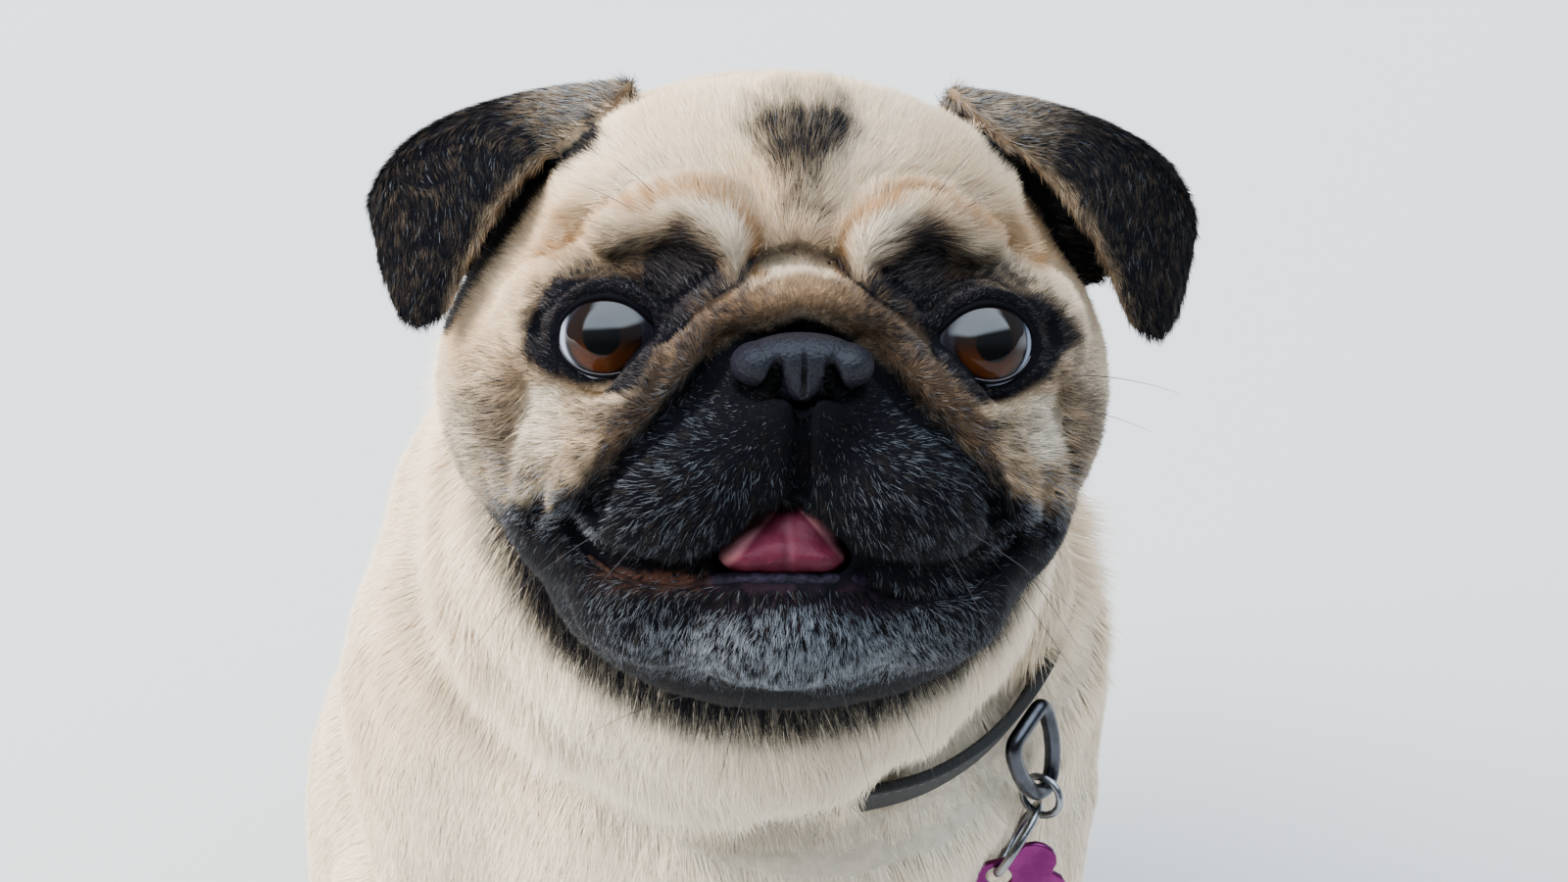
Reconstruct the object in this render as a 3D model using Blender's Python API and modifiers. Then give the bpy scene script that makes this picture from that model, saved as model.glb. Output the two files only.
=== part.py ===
"""A sitting pug that looks up, life size, as a still model.

Metres, +Z up. The body faces -Y and rests on the floor at z = 0. The dog's left side is at +X.
The head is modelled in its own frame: x to the dog's left, y to the back of the skull, z up the face,
with the middle between the two eyes at the origin.
"""
import math

import bmesh
import bpy
import numpy as np
from mathutils import Euler, Matrix, Vector
from mathutils.bvhtree import BVHTree

MM = 0.001
GAP = 0.3 * MM
SPECK = 0.004 * MM
SIDES = {"right": -1, "left": 1}

# The head's place and turn. It looks up, and a little towards the dog's right.
EYE_LINE = Vector((0, -92, 345)) * MM
LOOK_UP = math.radians(35)
LOOK_RIGHT = math.radians(6.5)
HEAD_TILT = math.radians(3.7)

# Sizes of the face, in the head's frame
EYE_APART = 70 * MM
EYE_RADIUS = 10.8 * MM
EYE_OPENING = (9.4 * MM, 7.6 * MM)
LID_THICK = 1.9 * MM
MOUTH_SHIFT = -2.5 * MM
LIP_Z = -42.5 * MM
MOUTH_APEX_Z = -31 * MM
MOUTH_HALF_WIDTH = 13.5 * MM
MOUTH_DEPTH = 26 * MM
EAR_THICK = 3 * MM

# How finely the forms are made
HEAD_VOXEL = 1.6 * MM
BODY_VOXEL = 3.2 * MM
PAW_VOXEL = 1.5 * MM
HEAD_FACES = 2900
BODY_FACES = 2250
PAW_FACES = 210
TAIL_FACES = 360

COLOURS = {
    "fawn": ((0.72, 0.52, 0.34), 0.8, 0.0),
    "cream": ((0.80, 0.70, 0.58), 0.8, 0.0),
    "mask": ((0.035, 0.033, 0.036), 0.75, 0.0),
    "nose": ((0.02, 0.02, 0.024), 0.4, 0.0),
    "eye": ((0.05, 0.018, 0.008), 0.06, 0.0),
    "tongue": ((0.55, 0.12, 0.16), 0.35, 0.0),
    "strap": ((0.02, 0.022, 0.03), 0.6, 0.0),
    "steel": ((0.42, 0.43, 0.45), 0.3, 1.0),
    "tag": ((0.19, 0.02, 0.14), 0.35, 1.0),
}


def mm(*values):
    """A point or a size given in millimetres, in metres."""
    return Vector(values) * MM


def clear_scene():
    for obj in list(bpy.data.objects):
        bpy.data.objects.remove(obj, do_unlink=True)
    for collection in list(bpy.data.collections):
        bpy.data.collections.remove(collection)


def new_collection(name):
    collection = bpy.data.collections.new(name)
    bpy.context.scene.collection.children.link(collection)
    return collection


def material(name):
    """A Principled material with the colour, roughness and metallic value of this finish."""
    if name in bpy.data.materials:
        return bpy.data.materials[name]
    colour, roughness, metallic = COLOURS[name]
    made = bpy.data.materials.new(name)
    made.use_nodes = True
    shader = made.node_tree.nodes["Principled BSDF"]
    shader.inputs["Base Color"].default_value = (*colour, 1)
    shader.inputs["Roughness"].default_value = roughness
    shader.inputs["Metallic"].default_value = metallic
    made.diffuse_color = (*colour, 1)
    return made


# Small tools for building meshes

def take_active(name):
    obj = bpy.context.object
    obj.name = name
    bake_place(obj)
    return obj


def bake_place(obj):
    """Moves an object's place into its mesh, so that the object sits at the origin."""
    bpy.context.view_layer.update()
    obj.data.transform(obj.matrix_world)
    obj.matrix_world = Matrix.Identity(4)
    if obj.data.polygons and signed_volume(obj.data) < 0:
        obj.data.flip_normals()


def signed_volume(mesh):
    mesh.calc_loop_triangles()
    points = np.empty(len(mesh.vertices) * 3, np.float32)
    mesh.vertices.foreach_get("co", points)
    corners = np.empty(len(mesh.loop_triangles) * 3, np.int32)
    mesh.loop_triangles.foreach_get("vertices", corners)
    triangles = points.reshape(-1, 3)[corners.reshape(-1, 3)]
    return float(np.einsum("ij,ij->i", triangles[:, 0], np.cross(triangles[:, 1], triangles[:, 2])).sum())


def ball(centre, radii, turn=(0, 0, 0), segments=24):
    """An ellipsoid. The turn is in degrees about X, Y and Z."""
    bpy.ops.mesh.primitive_uv_sphere_add(segments=segments, ring_count=segments // 2, radius=1)
    obj = bpy.context.object
    turned = Euler([math.radians(a) for a in turn]).to_matrix().to_4x4()
    obj.matrix_world = Matrix.Translation(centre) @ turned @ Matrix.Diagonal((*radii, 1))
    return take_active("ball")


def pair(centre, radii, turn=(0, 0, 0), segments=24):
    """The same ellipsoid on both sides of the body."""
    x, y, z = centre
    across = Vector((-x, y, z))
    return [
        ball(centre, radii, turn, segments),
        ball(across, radii, (turn[0], -turn[1], -turn[2]), segments),
    ]


def box(low, high):
    bpy.ops.mesh.primitive_cube_add(size=1)
    obj = bpy.context.object
    obj.matrix_world = Matrix.Translation((low + high) / 2) @ Matrix.Diagonal((*(high - low), 1))
    return take_active("box")


def smooth_path(points, count):
    """Evenly spaced points on a smooth curve through a few given ones."""
    given = np.array([list(p) for p in points], float)
    ends = np.vstack([2 * given[0] - given[1], given, 2 * given[-1] - given[-2]])
    found = []
    for i in range(1, len(ends) - 2):
        before, start, stop, after = ends[i - 1 : i + 3]
        for t in np.linspace(0, 1, 24, endpoint=False):
            found.append(
                0.5 * (2 * start + (stop - before) * t
                       + (2 * before - 5 * start + 4 * stop - after) * t ** 2
                       + (3 * start - before - 3 * stop + after) * t ** 3)
            )
    found = np.array(found + [given[-1]])
    along = np.r_[0, np.cumsum(np.linalg.norm(np.diff(found, axis=0), axis=1))]
    wanted = np.linspace(0, along[-1], count)
    return np.stack([np.interp(wanted, along, found[:, k]) for k in range(3)], 1)


def limb(points, radii, count, flat=1.0):
    """Balls along a smooth path, with radii that change evenly from one given point to the next."""
    centres = smooth_path(points, count)
    sizes = np.interp(np.linspace(0, len(radii) - 1, count), range(len(radii)), radii)
    return [ball(Vector(c), (r, r, r * flat), segments=16) for c, r in zip(centres, sizes)]


def mirrored(points):
    return [Vector((-p[0], p[1], p[2])) for p in points]


def join(name, pieces):
    """One object that holds the meshes of all these pieces, which may overlap."""
    whole = bmesh.new()
    for piece in pieces:
        whole.from_mesh(piece.data)
        bpy.data.objects.remove(piece)
    mesh = bpy.data.meshes.new(name)
    whole.to_mesh(mesh)
    whole.free()
    obj = bpy.data.objects.new(name, mesh)
    bpy.context.scene.collection.objects.link(obj)
    return obj


def apply_modifiers(obj):
    graph = bpy.context.evaluated_depsgraph_get()
    mesh = bpy.data.meshes.new_from_object(obj.evaluated_get(graph))
    obj.modifiers.clear()
    obj.data = mesh
    return obj


def fuse(name, pieces, voxel, rounds):
    """Melts overlapping pieces into one closed skin and softens the creases between them."""
    obj = join(name, pieces)
    remesh = obj.modifiers.new("melt", "REMESH")
    remesh.mode = "VOXEL"
    remesh.voxel_size = voxel
    if rounds:
        soft = obj.modifiers.new("soften", "SMOOTH")
        soft.factor = 0.5
        soft.iterations = rounds
    return keep_largest(apply_modifiers(obj))


def thin_out(obj, faces):
    """Lowers the number of triangles, keeping more of them where the shape bends."""
    triangles = sum(len(p.vertices) - 2 for p in obj.data.polygons)
    fewer = obj.modifiers.new("fewer faces", "DECIMATE")
    fewer.ratio = min(1.0, faces / triangles)
    fewer.use_collapse_triangulate = True
    return apply_modifiers(obj)


def keep_largest(obj):
    """Mends what a cut leaves behind, and keeps only the largest closed surface of a mesh."""
    work = bmesh.new()
    work.from_mesh(obj.data)
    bmesh.ops.triangulate(work, faces=work.faces)
    bmesh.ops.remove_doubles(work, verts=work.verts, dist=SPECK)
    bmesh.ops.dissolve_degenerate(work, edges=work.edges, dist=SPECK)
    loose = smaller_groups(work)
    bmesh.ops.delete(work, geom=loose, context="FACES")
    bmesh.ops.delete(work, geom=[v for v in work.verts if not v.link_faces], context="VERTS")
    rims = [edge for edge in work.edges if edge.is_boundary]
    if rims:
        bmesh.ops.holes_fill(work, edges=rims, sides=0)
    bmesh.ops.triangulate(work, faces=work.faces)
    work.to_mesh(obj.data)
    work.free()
    return obj


def smaller_groups(work):
    """The faces that aren't part of the largest joined-up surface."""
    left = set(work.faces)
    groups = []
    while left:
        stack = [left.pop()]
        group = list(stack)
        while stack:
            for edge in stack.pop().edges:
                for face in edge.link_faces:
                    if face in left:
                        left.remove(face)
                        stack.append(face)
                        group.append(face)
        groups.append(group)
    groups.sort(key=lambda g: -sum(f.calc_area() for f in g))
    return [face for group in groups[1:] for face in group]


def combine(obj, other, operation, keep_other=False):
    """Cuts with, or adds, another closed mesh."""
    modifier = obj.modifiers.new(operation.lower(), "BOOLEAN")
    modifier.operation = operation
    modifier.solver = "EXACT"
    modifier.object = other
    apply_modifiers(obj)
    if not keep_other:
        bpy.data.objects.remove(other)
    return obj


def copy_of(obj):
    made = bpy.data.objects.new(obj.name + " copy", obj.data.copy())
    bpy.context.scene.collection.objects.link(made)
    return made


def swollen(obj, by=GAP):
    """A copy of a closed mesh, a little larger all over."""
    made = copy_of(obj)
    grow = made.modifiers.new("grow", "DISPLACE")
    grow.strength = by
    grow.mid_level = 0
    return apply_modifiers(made)


def cut_clear(obj, neighbour):
    """Cuts a piece back to the usual gap from its neighbour."""
    return keep_largest(combine(obj, swollen(neighbour), "DIFFERENCE"))


def part_off(whole, name, region):
    """Splits off what lies inside a region as a piece of its own, and leaves the gap between the two."""
    piece = copy_of(whole)
    piece.name = name
    keep_largest(combine(piece, copy_of(region), "INTERSECT"))
    keep_largest(combine(whole, swollen(region), "DIFFERENCE"))
    bpy.data.objects.remove(region)
    return piece


def points_of(obj):
    points = np.empty(len(obj.data.vertices) * 3, np.float32)
    obj.data.vertices.foreach_get("co", points)
    return points.reshape(-1, 3).astype(float)


def surface_tree(obj):
    """A search tree over the surface of a mesh."""
    obj.data.calc_loop_triangles()
    corners = [tuple(t.vertices) for t in obj.data.loop_triangles]
    return BVHTree.FromPolygons([v.co for v in obj.data.vertices], corners)


def on_face(tree, x, z, inward=0.0):
    """The point of the face that is seen from the front at x and z, moved inward by a little."""
    hit = tree.ray_cast(Vector((x, -0.2, z)), Vector((0, 1, 0)))[0]
    if hit is None:
        raise ValueError(f"no face in front of {x}, {z}")
    return hit + Vector((0, inward, 0))


def push(obj, path, width, depth):
    """Raises a ridge, or with a negative depth sinks a crease, along a path of points on the surface."""
    points = points_of(obj)
    normals = np.empty(len(points) * 3, np.float32)
    obj.data.vertex_normals.foreach_get("vector", normals)
    normals = normals.reshape(-1, 3).astype(float)
    line = smooth_path(path, 40)
    near = np.full(len(points), np.inf)
    for start, stop in zip(line[:-1], line[1:]):
        run = stop - start
        share = np.clip(((points - start) @ run) / (run @ run), 0, 1)
        near = np.minimum(near, np.linalg.norm(points - start - share[:, None] * run, axis=1))
    amount = np.clip(1 - (near / width) ** 2, 0, 1) ** 2
    moved = points + normals * (amount * depth)[:, None]
    obj.data.vertices.foreach_set("co", moved.astype(np.float32).ravel())
    obj.data.update()
    return obj


def push_face(obj, outline, width, depth):
    """The same crease on both sides of the face. Its points are given by x and z as seen from the front."""
    tree = surface_tree(obj)
    for sign in SIDES.values():
        push(obj, [on_face(tree, sign * x * MM, z * MM) for x, z in outline], width, depth)


# The head

def head_matrix():
    turn = Matrix.Rotation(-LOOK_RIGHT, 4, "Z") @ Matrix.Rotation(-LOOK_UP, 4, "X")
    return Matrix.Translation(EYE_LINE) @ turn @ Matrix.Rotation(HEAD_TILT, 4, "Y")


def skull_and_cheeks():
    """The round skull, full cheeks and the jaw under them."""
    return [
        ball(mm(-1.5, 41, 9), mm(59, 50, 46)),
        ball(mm(-1, 16, 25), mm(47, 25, 27)),
        ball(mm(-31, 37, -9), mm(39, 41, 40)),
        ball(mm(29, 37, -9), mm(38, 41, 40)),
        *pair(mm(36, 17, -28), mm(22, 26, 24)),
        ball(mm(0, 24, -44), mm(49, 36, 30)),
        *pair(mm(43, 7, 1), mm(15, 12, 16)),
    ]


def muzzle():
    """The short muzzle with its two hanging lips, and the chin."""
    return [
        ball(mm(-1.5, 2, -22), mm(39, 24, 24)),
        ball(mm(-22.5, -8, -29), mm(20.5, 18, 17.5)),
        ball(mm(18.5, -8, -29), mm(20.5, 18, 17)),
        ball(mm(0, -14, -14), mm(14, 12, 12)),
        ball(mm(-1.5, -4, -54), mm(23, 18, 13.5)),
        *pair(mm(25, 3, -48), mm(19, 19, 16)),
    ]


# Each fold is a row of points given by x and z as seen from the front, with the radius of the fold there.
NOSE_ROLL = [(0, 8, 6.6), (12, 6, 6.8), (21, -3, 7), (31, -14, 6.8), (39.5, -23, 5.8), (44, -31, 4.2)]
BROW_LOBES = [(13, 19, 6.5), (17, 23, 7), (25, 24, 6.2), (35, 20, 5)]
EYE_POUCH = [(25, -13, 3.4), (34, -17, 4), (44, -13, 4), (50, -4, 3.6)]


LOWER_LIP = [(-16, -44.6), (-9, -46), (0, -46.4), (9, -46), (16, -44.6)]


def fold(tree, rows, sink):
    """Balls in a row that follow the surface of the face on both sides."""
    pieces = []
    line = smooth_path([mm(x, r, z) for x, z, r in rows], 16)
    for x, radius, z in line:
        for sign in SIDES.values():
            centre = on_face(tree, sign * x, z, sink * radius)
            pieces.append(ball(centre, (radius, radius, radius), segments=16))
    return pieces


CREASES = [
    # over the brows
    ([(8, 13), (8.5, 21), (13, 27), (22, 30), (33, 27), (44, 19)], 4.2 * MM, -2.6 * MM),
    # between the brows and the nose roll
    ([(2, 15.5), (9, 14), (16, 9), (22, 4)], 3.4 * MM, -2.8 * MM),
    # under the nose roll
    ([(14, -1), (19, -9), (28, -18), (36, -26), (39, -33)], 3.6 * MM, -3.0 * MM),
    # in front of the cheek
    ([(49, 3), (51, -10), (54, -20), (55, -28)], 4 * MM, -1.8 * MM),
    # between the two cheeks folds and the lips
    ([(44, -24), (47, -30), (50, -36)], 4 * MM, -2 * MM),
]


def head_form():
    """The whole head without ears: skull, cheeks, muzzle, folds and lids."""
    base = fuse("base", skull_and_cheeks() + muzzle(), HEAD_VOXEL * 1.5, 5)
    tree = surface_tree(base)
    folds = fold(tree, NOSE_ROLL, 0.25) + fold(tree, BROW_LOBES, 0.3) + fold(tree, EYE_POUCH, 0.45)
    lip = smooth_path([mm(x, 0, z) for x, z in LOWER_LIP], 15)
    lip = [ball(on_face(tree, x + MOUTH_SHIFT, z, 0.3 * MM), mm(2.8, 3.2, 2.4), segments=12) for x, _, z in lip]
    head = fuse("head", [base] + folds + lip, HEAD_VOXEL, 2)
    for outline, width, depth in CREASES:
        push_face(head, outline, width, depth)
    line = [(x / MM, z / MM) for x, z in mouth_line()]
    push_face(head, line, 4.5 * MM, -2.4 * MM)
    tree = surface_tree(head)
    push(head, [on_face(tree, 0, z * MM) for z in (-13, -18, -24, -30)], 2.6 * MM, -1.6 * MM)
    thin_out(head, HEAD_FACES)
    for sign in SIDES.values():
        combine(head, eyelids(sign), "UNION")
        combine(head, eye_opening(sign), "DIFFERENCE")
    return keep_largest(head)


def eye_centre(sign):
    return Vector((sign * EYE_APART / 2, 0, 0))


def eye_matrix(sign):
    """The eyes look a little outwards."""
    outward = Matrix.Rotation(sign * math.radians(12), 4, "Z")
    return Matrix.Translation(eye_centre(sign)) @ outward


def eyelids(sign):
    """A rounded rim round the opening of the eye, a little wider than it is high."""
    bpy.ops.mesh.primitive_torus_add(
        major_segments=24, minor_segments=8, major_radius=1, minor_radius=LID_THICK / EYE_OPENING[0])
    rim = bpy.context.object
    face_front = Matrix.Rotation(math.radians(90), 4, "X")
    wide, high = (size + LID_THICK * 0.8 for size in EYE_OPENING)
    rim.matrix_world = (eye_matrix(sign) @ Matrix.Translation(mm(0, -4.6, 0))
                        @ Matrix.Diagonal((wide, EYE_OPENING[0], high, 1)) @ face_front)
    return take_active("eyelids")


def eye_opening(sign):
    bpy.ops.mesh.primitive_cylinder_add(vertices=24, radius=1, depth=1)
    hole = bpy.context.object
    face_front = Matrix.Rotation(math.radians(90), 4, "X")
    hole.matrix_world = (eye_matrix(sign) @ Matrix.Translation(mm(0, -17, 0))
                         @ Matrix.Diagonal((EYE_OPENING[0], 34 * MM, EYE_OPENING[1], 1)) @ face_front)
    return take_active("eye opening")


def eye(side, sign):
    bpy.ops.mesh.primitive_uv_sphere_add(segments=18, ring_count=10, radius=EYE_RADIUS)
    obj = bpy.context.object
    obj.matrix_world = eye_matrix(sign) @ Matrix.Rotation(math.radians(90), 4, "X")
    return take_active(f"eye_{side}")


def nose():
    """The nose leather: a broad pad with a wing over each nostril."""
    form = fuse("nose", [
        ball(mm(0, -20, -3.4), mm(11.5, 7.2, 5.6)),
        *pair(mm(8.4, -20, -4.2), mm(5.6, 6.4, 4.8)),
        ball(mm(0, -21.5, -8), mm(4.4, 5.6, 5)),
        *pair(mm(6, -18, -9), mm(5.5, 6, 3.6)),
        ball(mm(0, -15, -6), mm(11.5, 7, 6)),
    ], 0.7 * MM, 2)
    thin_out(form, 380)
    for sign in SIDES.values():
        path = [mm(sign * x, y, z) for x, y, z in NOSTRIL]
        slit = fuse("nostril", limb(path, [r * MM for r in NOSTRIL_RADII], 12), 0.6 * MM, 1)
        combine(form, thin_out(slit, 90), "DIFFERENCE")
    return keep_largest(form)


# Each nostril is a round hole beside the middle, with a slit that runs outwards under the wing.
NOSTRIL = [(4.9, -27.5, -3.6), (5.4, -27, -6.6), (6.8, -26.5, -8.6), (10, -25, -8.4), (13.5, -22, -7)]
NOSTRIL_RADII = [1.5, 2.7, 2.3, 1.4, 1]


def tongue():
    """The tongue lies in the opening of the mouth, with its tip behind the lower lip."""
    shift = Vector((MOUTH_SHIFT, 0, 0))
    form = fuse("tongue", [
        ball(mm(0, -8, -40) + shift, mm(11.5, 13, 5.6)),
        ball(mm(-6, -10, -41) + shift, mm(6.5, 11, 3.6)),
        ball(mm(6, -10, -41) + shift, mm(6.5, 11, 3.6)),
        ball(mm(0, 4, -41) + shift, mm(11, 12, 5)),
    ], 1 * MM, 2)
    return thin_out(form, 180)


def prism(name, outline, front, back):
    """A solid with this outline in x and z, from front to back along y."""
    work = bmesh.new()
    face = work.faces.new([work.verts.new((x, front, z)) for x, z in outline])
    grown = bmesh.ops.extrude_face_region(work, geom=[face])
    moved = [v for v in grown["geom"] if isinstance(v, bmesh.types.BMVert)]
    bmesh.ops.translate(work, verts=moved, vec=(0, back - front, 0))
    bmesh.ops.recalc_face_normals(work, faces=work.faces)
    mesh = bpy.data.meshes.new(name)
    work.to_mesh(mesh)
    work.free()
    obj = bpy.data.objects.new(name, mesh)
    bpy.context.scene.collection.objects.link(obj)
    if signed_volume(mesh) < 0:
        mesh.flip_normals()
    return obj


def mouth_opening():
    """The peaked gap between the upper lips, in which the tongue shows."""
    half, top, low = MOUTH_HALF_WIDTH, MOUTH_APEX_Z, LIP_Z
    peak = [(-1, low), (-0.82, low + 3.4 * MM), (-0.36, top - 1.4 * MM), (0, top),
            (0.36, top - 1.4 * MM), (0.82, low + 3.4 * MM), (1, low)]
    outline = [(x * half + MOUTH_SHIFT, z) for x, z in peak]
    return prism("mouth opening", outline, -50 * MM, -34 * MM + MOUTH_DEPTH)


def mouth_line():
    """The line of the mouth on the dog's left, from the opening to the corner of the lips, in x and z."""
    points = [mm(14, 0, -42.5), mm(22, 0, -44), mm(31, 0, -43.4), mm(39, 0, -39.5), mm(46, 0, -33.5), mm(50, 0, -28)]
    return [(x, z) for x, _, z in smooth_path(points, 9)]


def jaw_region():
    """All that lies under the line of the mouth, from the chin back to the corners of the lips."""
    upper = mouth_line()
    outline = upper + [(52 * MM, -31 * MM), (50 * MM, -110 * MM), (-50 * MM, -110 * MM), (-52 * MM, -31 * MM)]
    outline += [(-x, z) for x, z in reversed(upper)]
    return prism("jaw region", outline, -60 * MM, 12 * MM)


EAR_ROWS = [
    # Each row runs across the ear from its front edge to its back edge, in millimetres in the head's frame.
    [(29, 27, 41), (39, 34, 37), (46, 44, 29), (50, 54, 19), (51, 60, 8)],
    [(30, 25, 46), (43, 34, 43), (55, 43, 35), (62, 51, 23), (62, 56, 11)],
    [(31, 23, 50), (46, 31, 48), (61, 38, 42), (72, 43, 31), (74, 47, 18)],
    [(31, 20, 50), (47, 24, 49.5), (63, 29, 46), (78, 34, 39), (82, 40, 28)],
    [(36, 17.5, 44), (49, 18, 45), (64, 20, 42), (78, 26, 36), (83, 33, 25)],
    [(46, 16, 36.5), (54, 15.5, 36.5), (65, 16.5, 33.5), (76, 21, 27), (81, 28, 18)],
    [(56, 15, 27), (61, 14.5, 26.5), (68, 15.5, 23), (75, 19, 17.5), (79, 24, 10)],
    [(62.5, 14.5, 15), (65.5, 14.2, 14.5), (69.5, 15, 12.5), (74.5, 17.5, 9.5), (77, 21, 6)],
    [(66.5, 15, 4.5), (68.5, 15, 3.5), (71, 15.5, 2.5), (73, 17, 2), (75, 19, 2.5)],
]


def ear(side, sign):
    """A button ear: the flap rises from the skull, folds over and hangs forward to eye level."""
    work = bmesh.new()
    rows = [[work.verts.new(mm(sign * x, y, z)) for x, y, z in row] for row in EAR_ROWS]
    for lower, upper in zip(rows[:-1], rows[1:]):
        for i in range(len(lower) - 1):
            corners = [lower[i], lower[i + 1], upper[i + 1], upper[i]]
            work.faces.new(corners if sign > 0 else corners[::-1])
    mesh = bpy.data.meshes.new(f"ear_{side}")
    work.to_mesh(mesh)
    work.free()
    obj = bpy.data.objects.new(f"ear_{side}", mesh)
    bpy.context.scene.collection.objects.link(obj)
    round_off = obj.modifiers.new("round off", "SUBSURF")
    round_off.levels = round_off.render_levels = 1
    wall = obj.modifiers.new("leather", "SOLIDIFY")
    wall.thickness = EAR_THICK
    wall.offset = 0
    return apply_modifiers(obj)


# The body

def trunk():
    """Ribs, chest, shoulders, belly, haunches and the thick neck of the sitting dog."""
    pieces = [
        ball(mm(0, 8, 190), mm(82, 106, 78), (-47, 0, 0)),
        ball(mm(0, -30, 192), mm(74, 64, 66)),
        *pair(mm(54, -12, 190), mm(39, 50, 62), (6, 0, 0)),
        ball(mm(0, 84, 118), mm(80, 76, 70)),
        ball(mm(0, 108, 74), mm(84, 66, 76)),
        *pair(mm(34, 10, 223), mm(44, 52, 43)),
        *pair(mm(66, 72, 74), mm(35, 68, 58), (12, 0, 0)),
        *pair(mm(76, 24, 86), mm(24, 34, 34)),
        # the loin, so that the back runs in one line from the shoulders to the rump
        ball(mm(0, 38, 184), mm(68, 52, 55), (-20, 0, 0)),
        *pair(mm(40, 66, 146), mm(42, 44, 40)),
    ]
    pieces += limb([mm(0, 10, 234), mm(0, -12, 266), mm(1, -36, 298)], [68 * MM, 56 * MM, 48 * MM], 7)
    return pieces


def ruff():
    """The loose skin of the throat, which rolls forward under the chin."""
    return [
        ball(mm(0, -54, 258), mm(64, 50, 38), (20, 0, 0)),
        ball(mm(0, -68, 248), mm(48, 38, 27), (20, 0, 0)),
        *pair(mm(33, -46, 263), mm(36, 40, 34), (20, 0, 0)),
    ]


def legs():
    """Straight forelegs, and hind feet that lie forward on the floor beside them."""
    foreleg = [mm(58, -26, 170), mm(56, -40, 116), mm(55, -48, 70), mm(55, -54, 24)]
    fore_radii = [32 * MM, 25 * MM, 20 * MM, 18 * MM]
    hind_foot = [mm(82, 96, 26), mm(86, 60, 20), mm(90, 22, 18), mm(90, -2, 17)]
    hind_radii = [22 * MM, 18 * MM, 17 * MM, 17 * MM]
    pieces = []
    for points, radii in ((foreleg, fore_radii), (hind_foot, hind_radii)):
        pieces += limb(points, radii, 16) + limb(mirrored(points), radii, 16)
    return pieces


NECK_FOLD = [mm(0, -90, 218), mm(36, -80, 222), mm(60, -52, 234), mm(70, -12, 254), mm(60, 24, 273), mm(30, 44, 286)]


def body_form():
    base = fuse("base", trunk(), BODY_VOXEL * 1.4, 8)
    body = fuse("body", [base] + ruff() + legs(), BODY_VOXEL, 4)
    push(body, mirrored(NECK_FOLD[::-1]) + NECK_FOLD[1:], 10 * MM, -4 * MM)
    for sign in SIDES.values():
        # the fold between the thigh and the flank
        push(body, [mm(sign * 74, 8, 128), mm(sign * 86, 40, 132), mm(sign * 80, 80, 136)], 12 * MM, -3 * MM)
    thin_out(body, BODY_FACES)
    combine(body, below_floor(), "DIFFERENCE")
    return body


def below_floor():
    return box(mm(-300, -300, -100), mm(300, 300, 0))


TOES = [(-15.5, -9, 6.2), (-5.6, -17, 6.8), (5.6, -17, 6.8), (15.5, -9, 6.2)]


def paw(centre, spread, turn):
    """A paw with four toes and a claw on each, flat underneath."""
    pieces = [ball(mm(0, 6, 15), mm(19 * spread, 22, 14)), ball(mm(0, -4, 10), mm(20 * spread, 17, 11))]
    for x, y, radius in TOES:
        pieces.append(ball(mm(x * spread, y, 8.5), mm(radius, 11, 9.5), (12, 0, -x * 0.8), 16))
    form = fuse("paw", pieces, PAW_VOXEL, 2)
    thin_out(form, PAW_FACES)
    for x, y, _ in TOES:
        combine(form, claw(x * spread * MM, (y - 8.2) * MM), "UNION")
    form.matrix_world = Matrix.Translation(centre) @ Matrix.Rotation(math.radians(turn), 4, "Z")
    bake_place(form)
    return keep_largest(combine(form, below_floor(), "DIFFERENCE"))


def claw(x, y):
    bpy.ops.mesh.primitive_cone_add(vertices=7, radius1=2.1 * MM, radius2=0.7 * MM, depth=8 * MM)
    cone = bpy.context.object
    lean = Matrix.Rotation(math.radians(128), 4, "X") @ Matrix.Rotation(-x / MM * 0.007, 4, "Y")
    cone.matrix_world = Matrix.Translation(Vector((x, y - 1.6 * MM, 5.5 * MM))) @ lean
    return take_active("claw")


def tail():
    """The tail curls up over the rump and lies towards the dog's left hip."""
    turns, count = 1.45, 34
    pieces = []
    for i in range(count):
        t = i / (count - 1)
        angle = math.radians(-60) + t * turns * 2 * math.pi
        reach = (30 - 23 * t) * MM
        centre = Vector(((3 + 23 * t) * MM, 153 * MM + reach * math.cos(angle), 138 * MM + reach * math.sin(angle)))
        radius = (15 - 5.2 * t) * MM
        pieces.append(ball(centre, (radius, radius, radius), segments=16))
    root = limb([mm(2, 126, 94), mm(3, 156, 102), mm(3, 168, 112)], [17 * MM, 16 * MM, 15 * MM], 6)
    return thin_out(fuse("tail", pieces + root, 2 * MM, 2), TAIL_FACES)


# Where the whole is parted

def half_space(point, up):
    """A large block that fills the side of a plane that 'up' points to."""
    block = box(mm(-500, -500, 0), mm(500, 500, 1000))
    block.matrix_world = Matrix.Translation(point) @ up.to_track_quat("Z", "Y").to_matrix().to_4x4()
    bake_place(block)
    return block


def head_region():
    """From the throat under the chin to behind the back of the skull."""
    low, high = head_matrix() @ mm(0, 30, -85), head_matrix() @ mm(0, 86, 40)
    along = high - low
    return half_space(low, Vector((0, -along.z, along.y)))


COLLAR_FRONT = mm(0, -90, 216)
COLLAR_BACK = mm(0, 44, 286)


COLLAR_TILT = 0.2


def collar_up():
    along = COLLAR_BACK - COLLAR_FRONT
    return Vector((COLLAR_TILT * along.length, -along.z, along.y)).normalized()


def foreleg_region(sign):
    low, high = mm(6, -120, -10), mm(110, -12, 118)
    if sign > 0:
        return box(low, high)
    return box(Vector((-high.x, low.y, low.z)), Vector((-low.x, high.y, high.z)))


def hind_leg_region(sign):
    return ball(mm(sign * 101, 52, 48), mm(58, 106, 86), segments=28)


# The collar and what hangs from it

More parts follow.
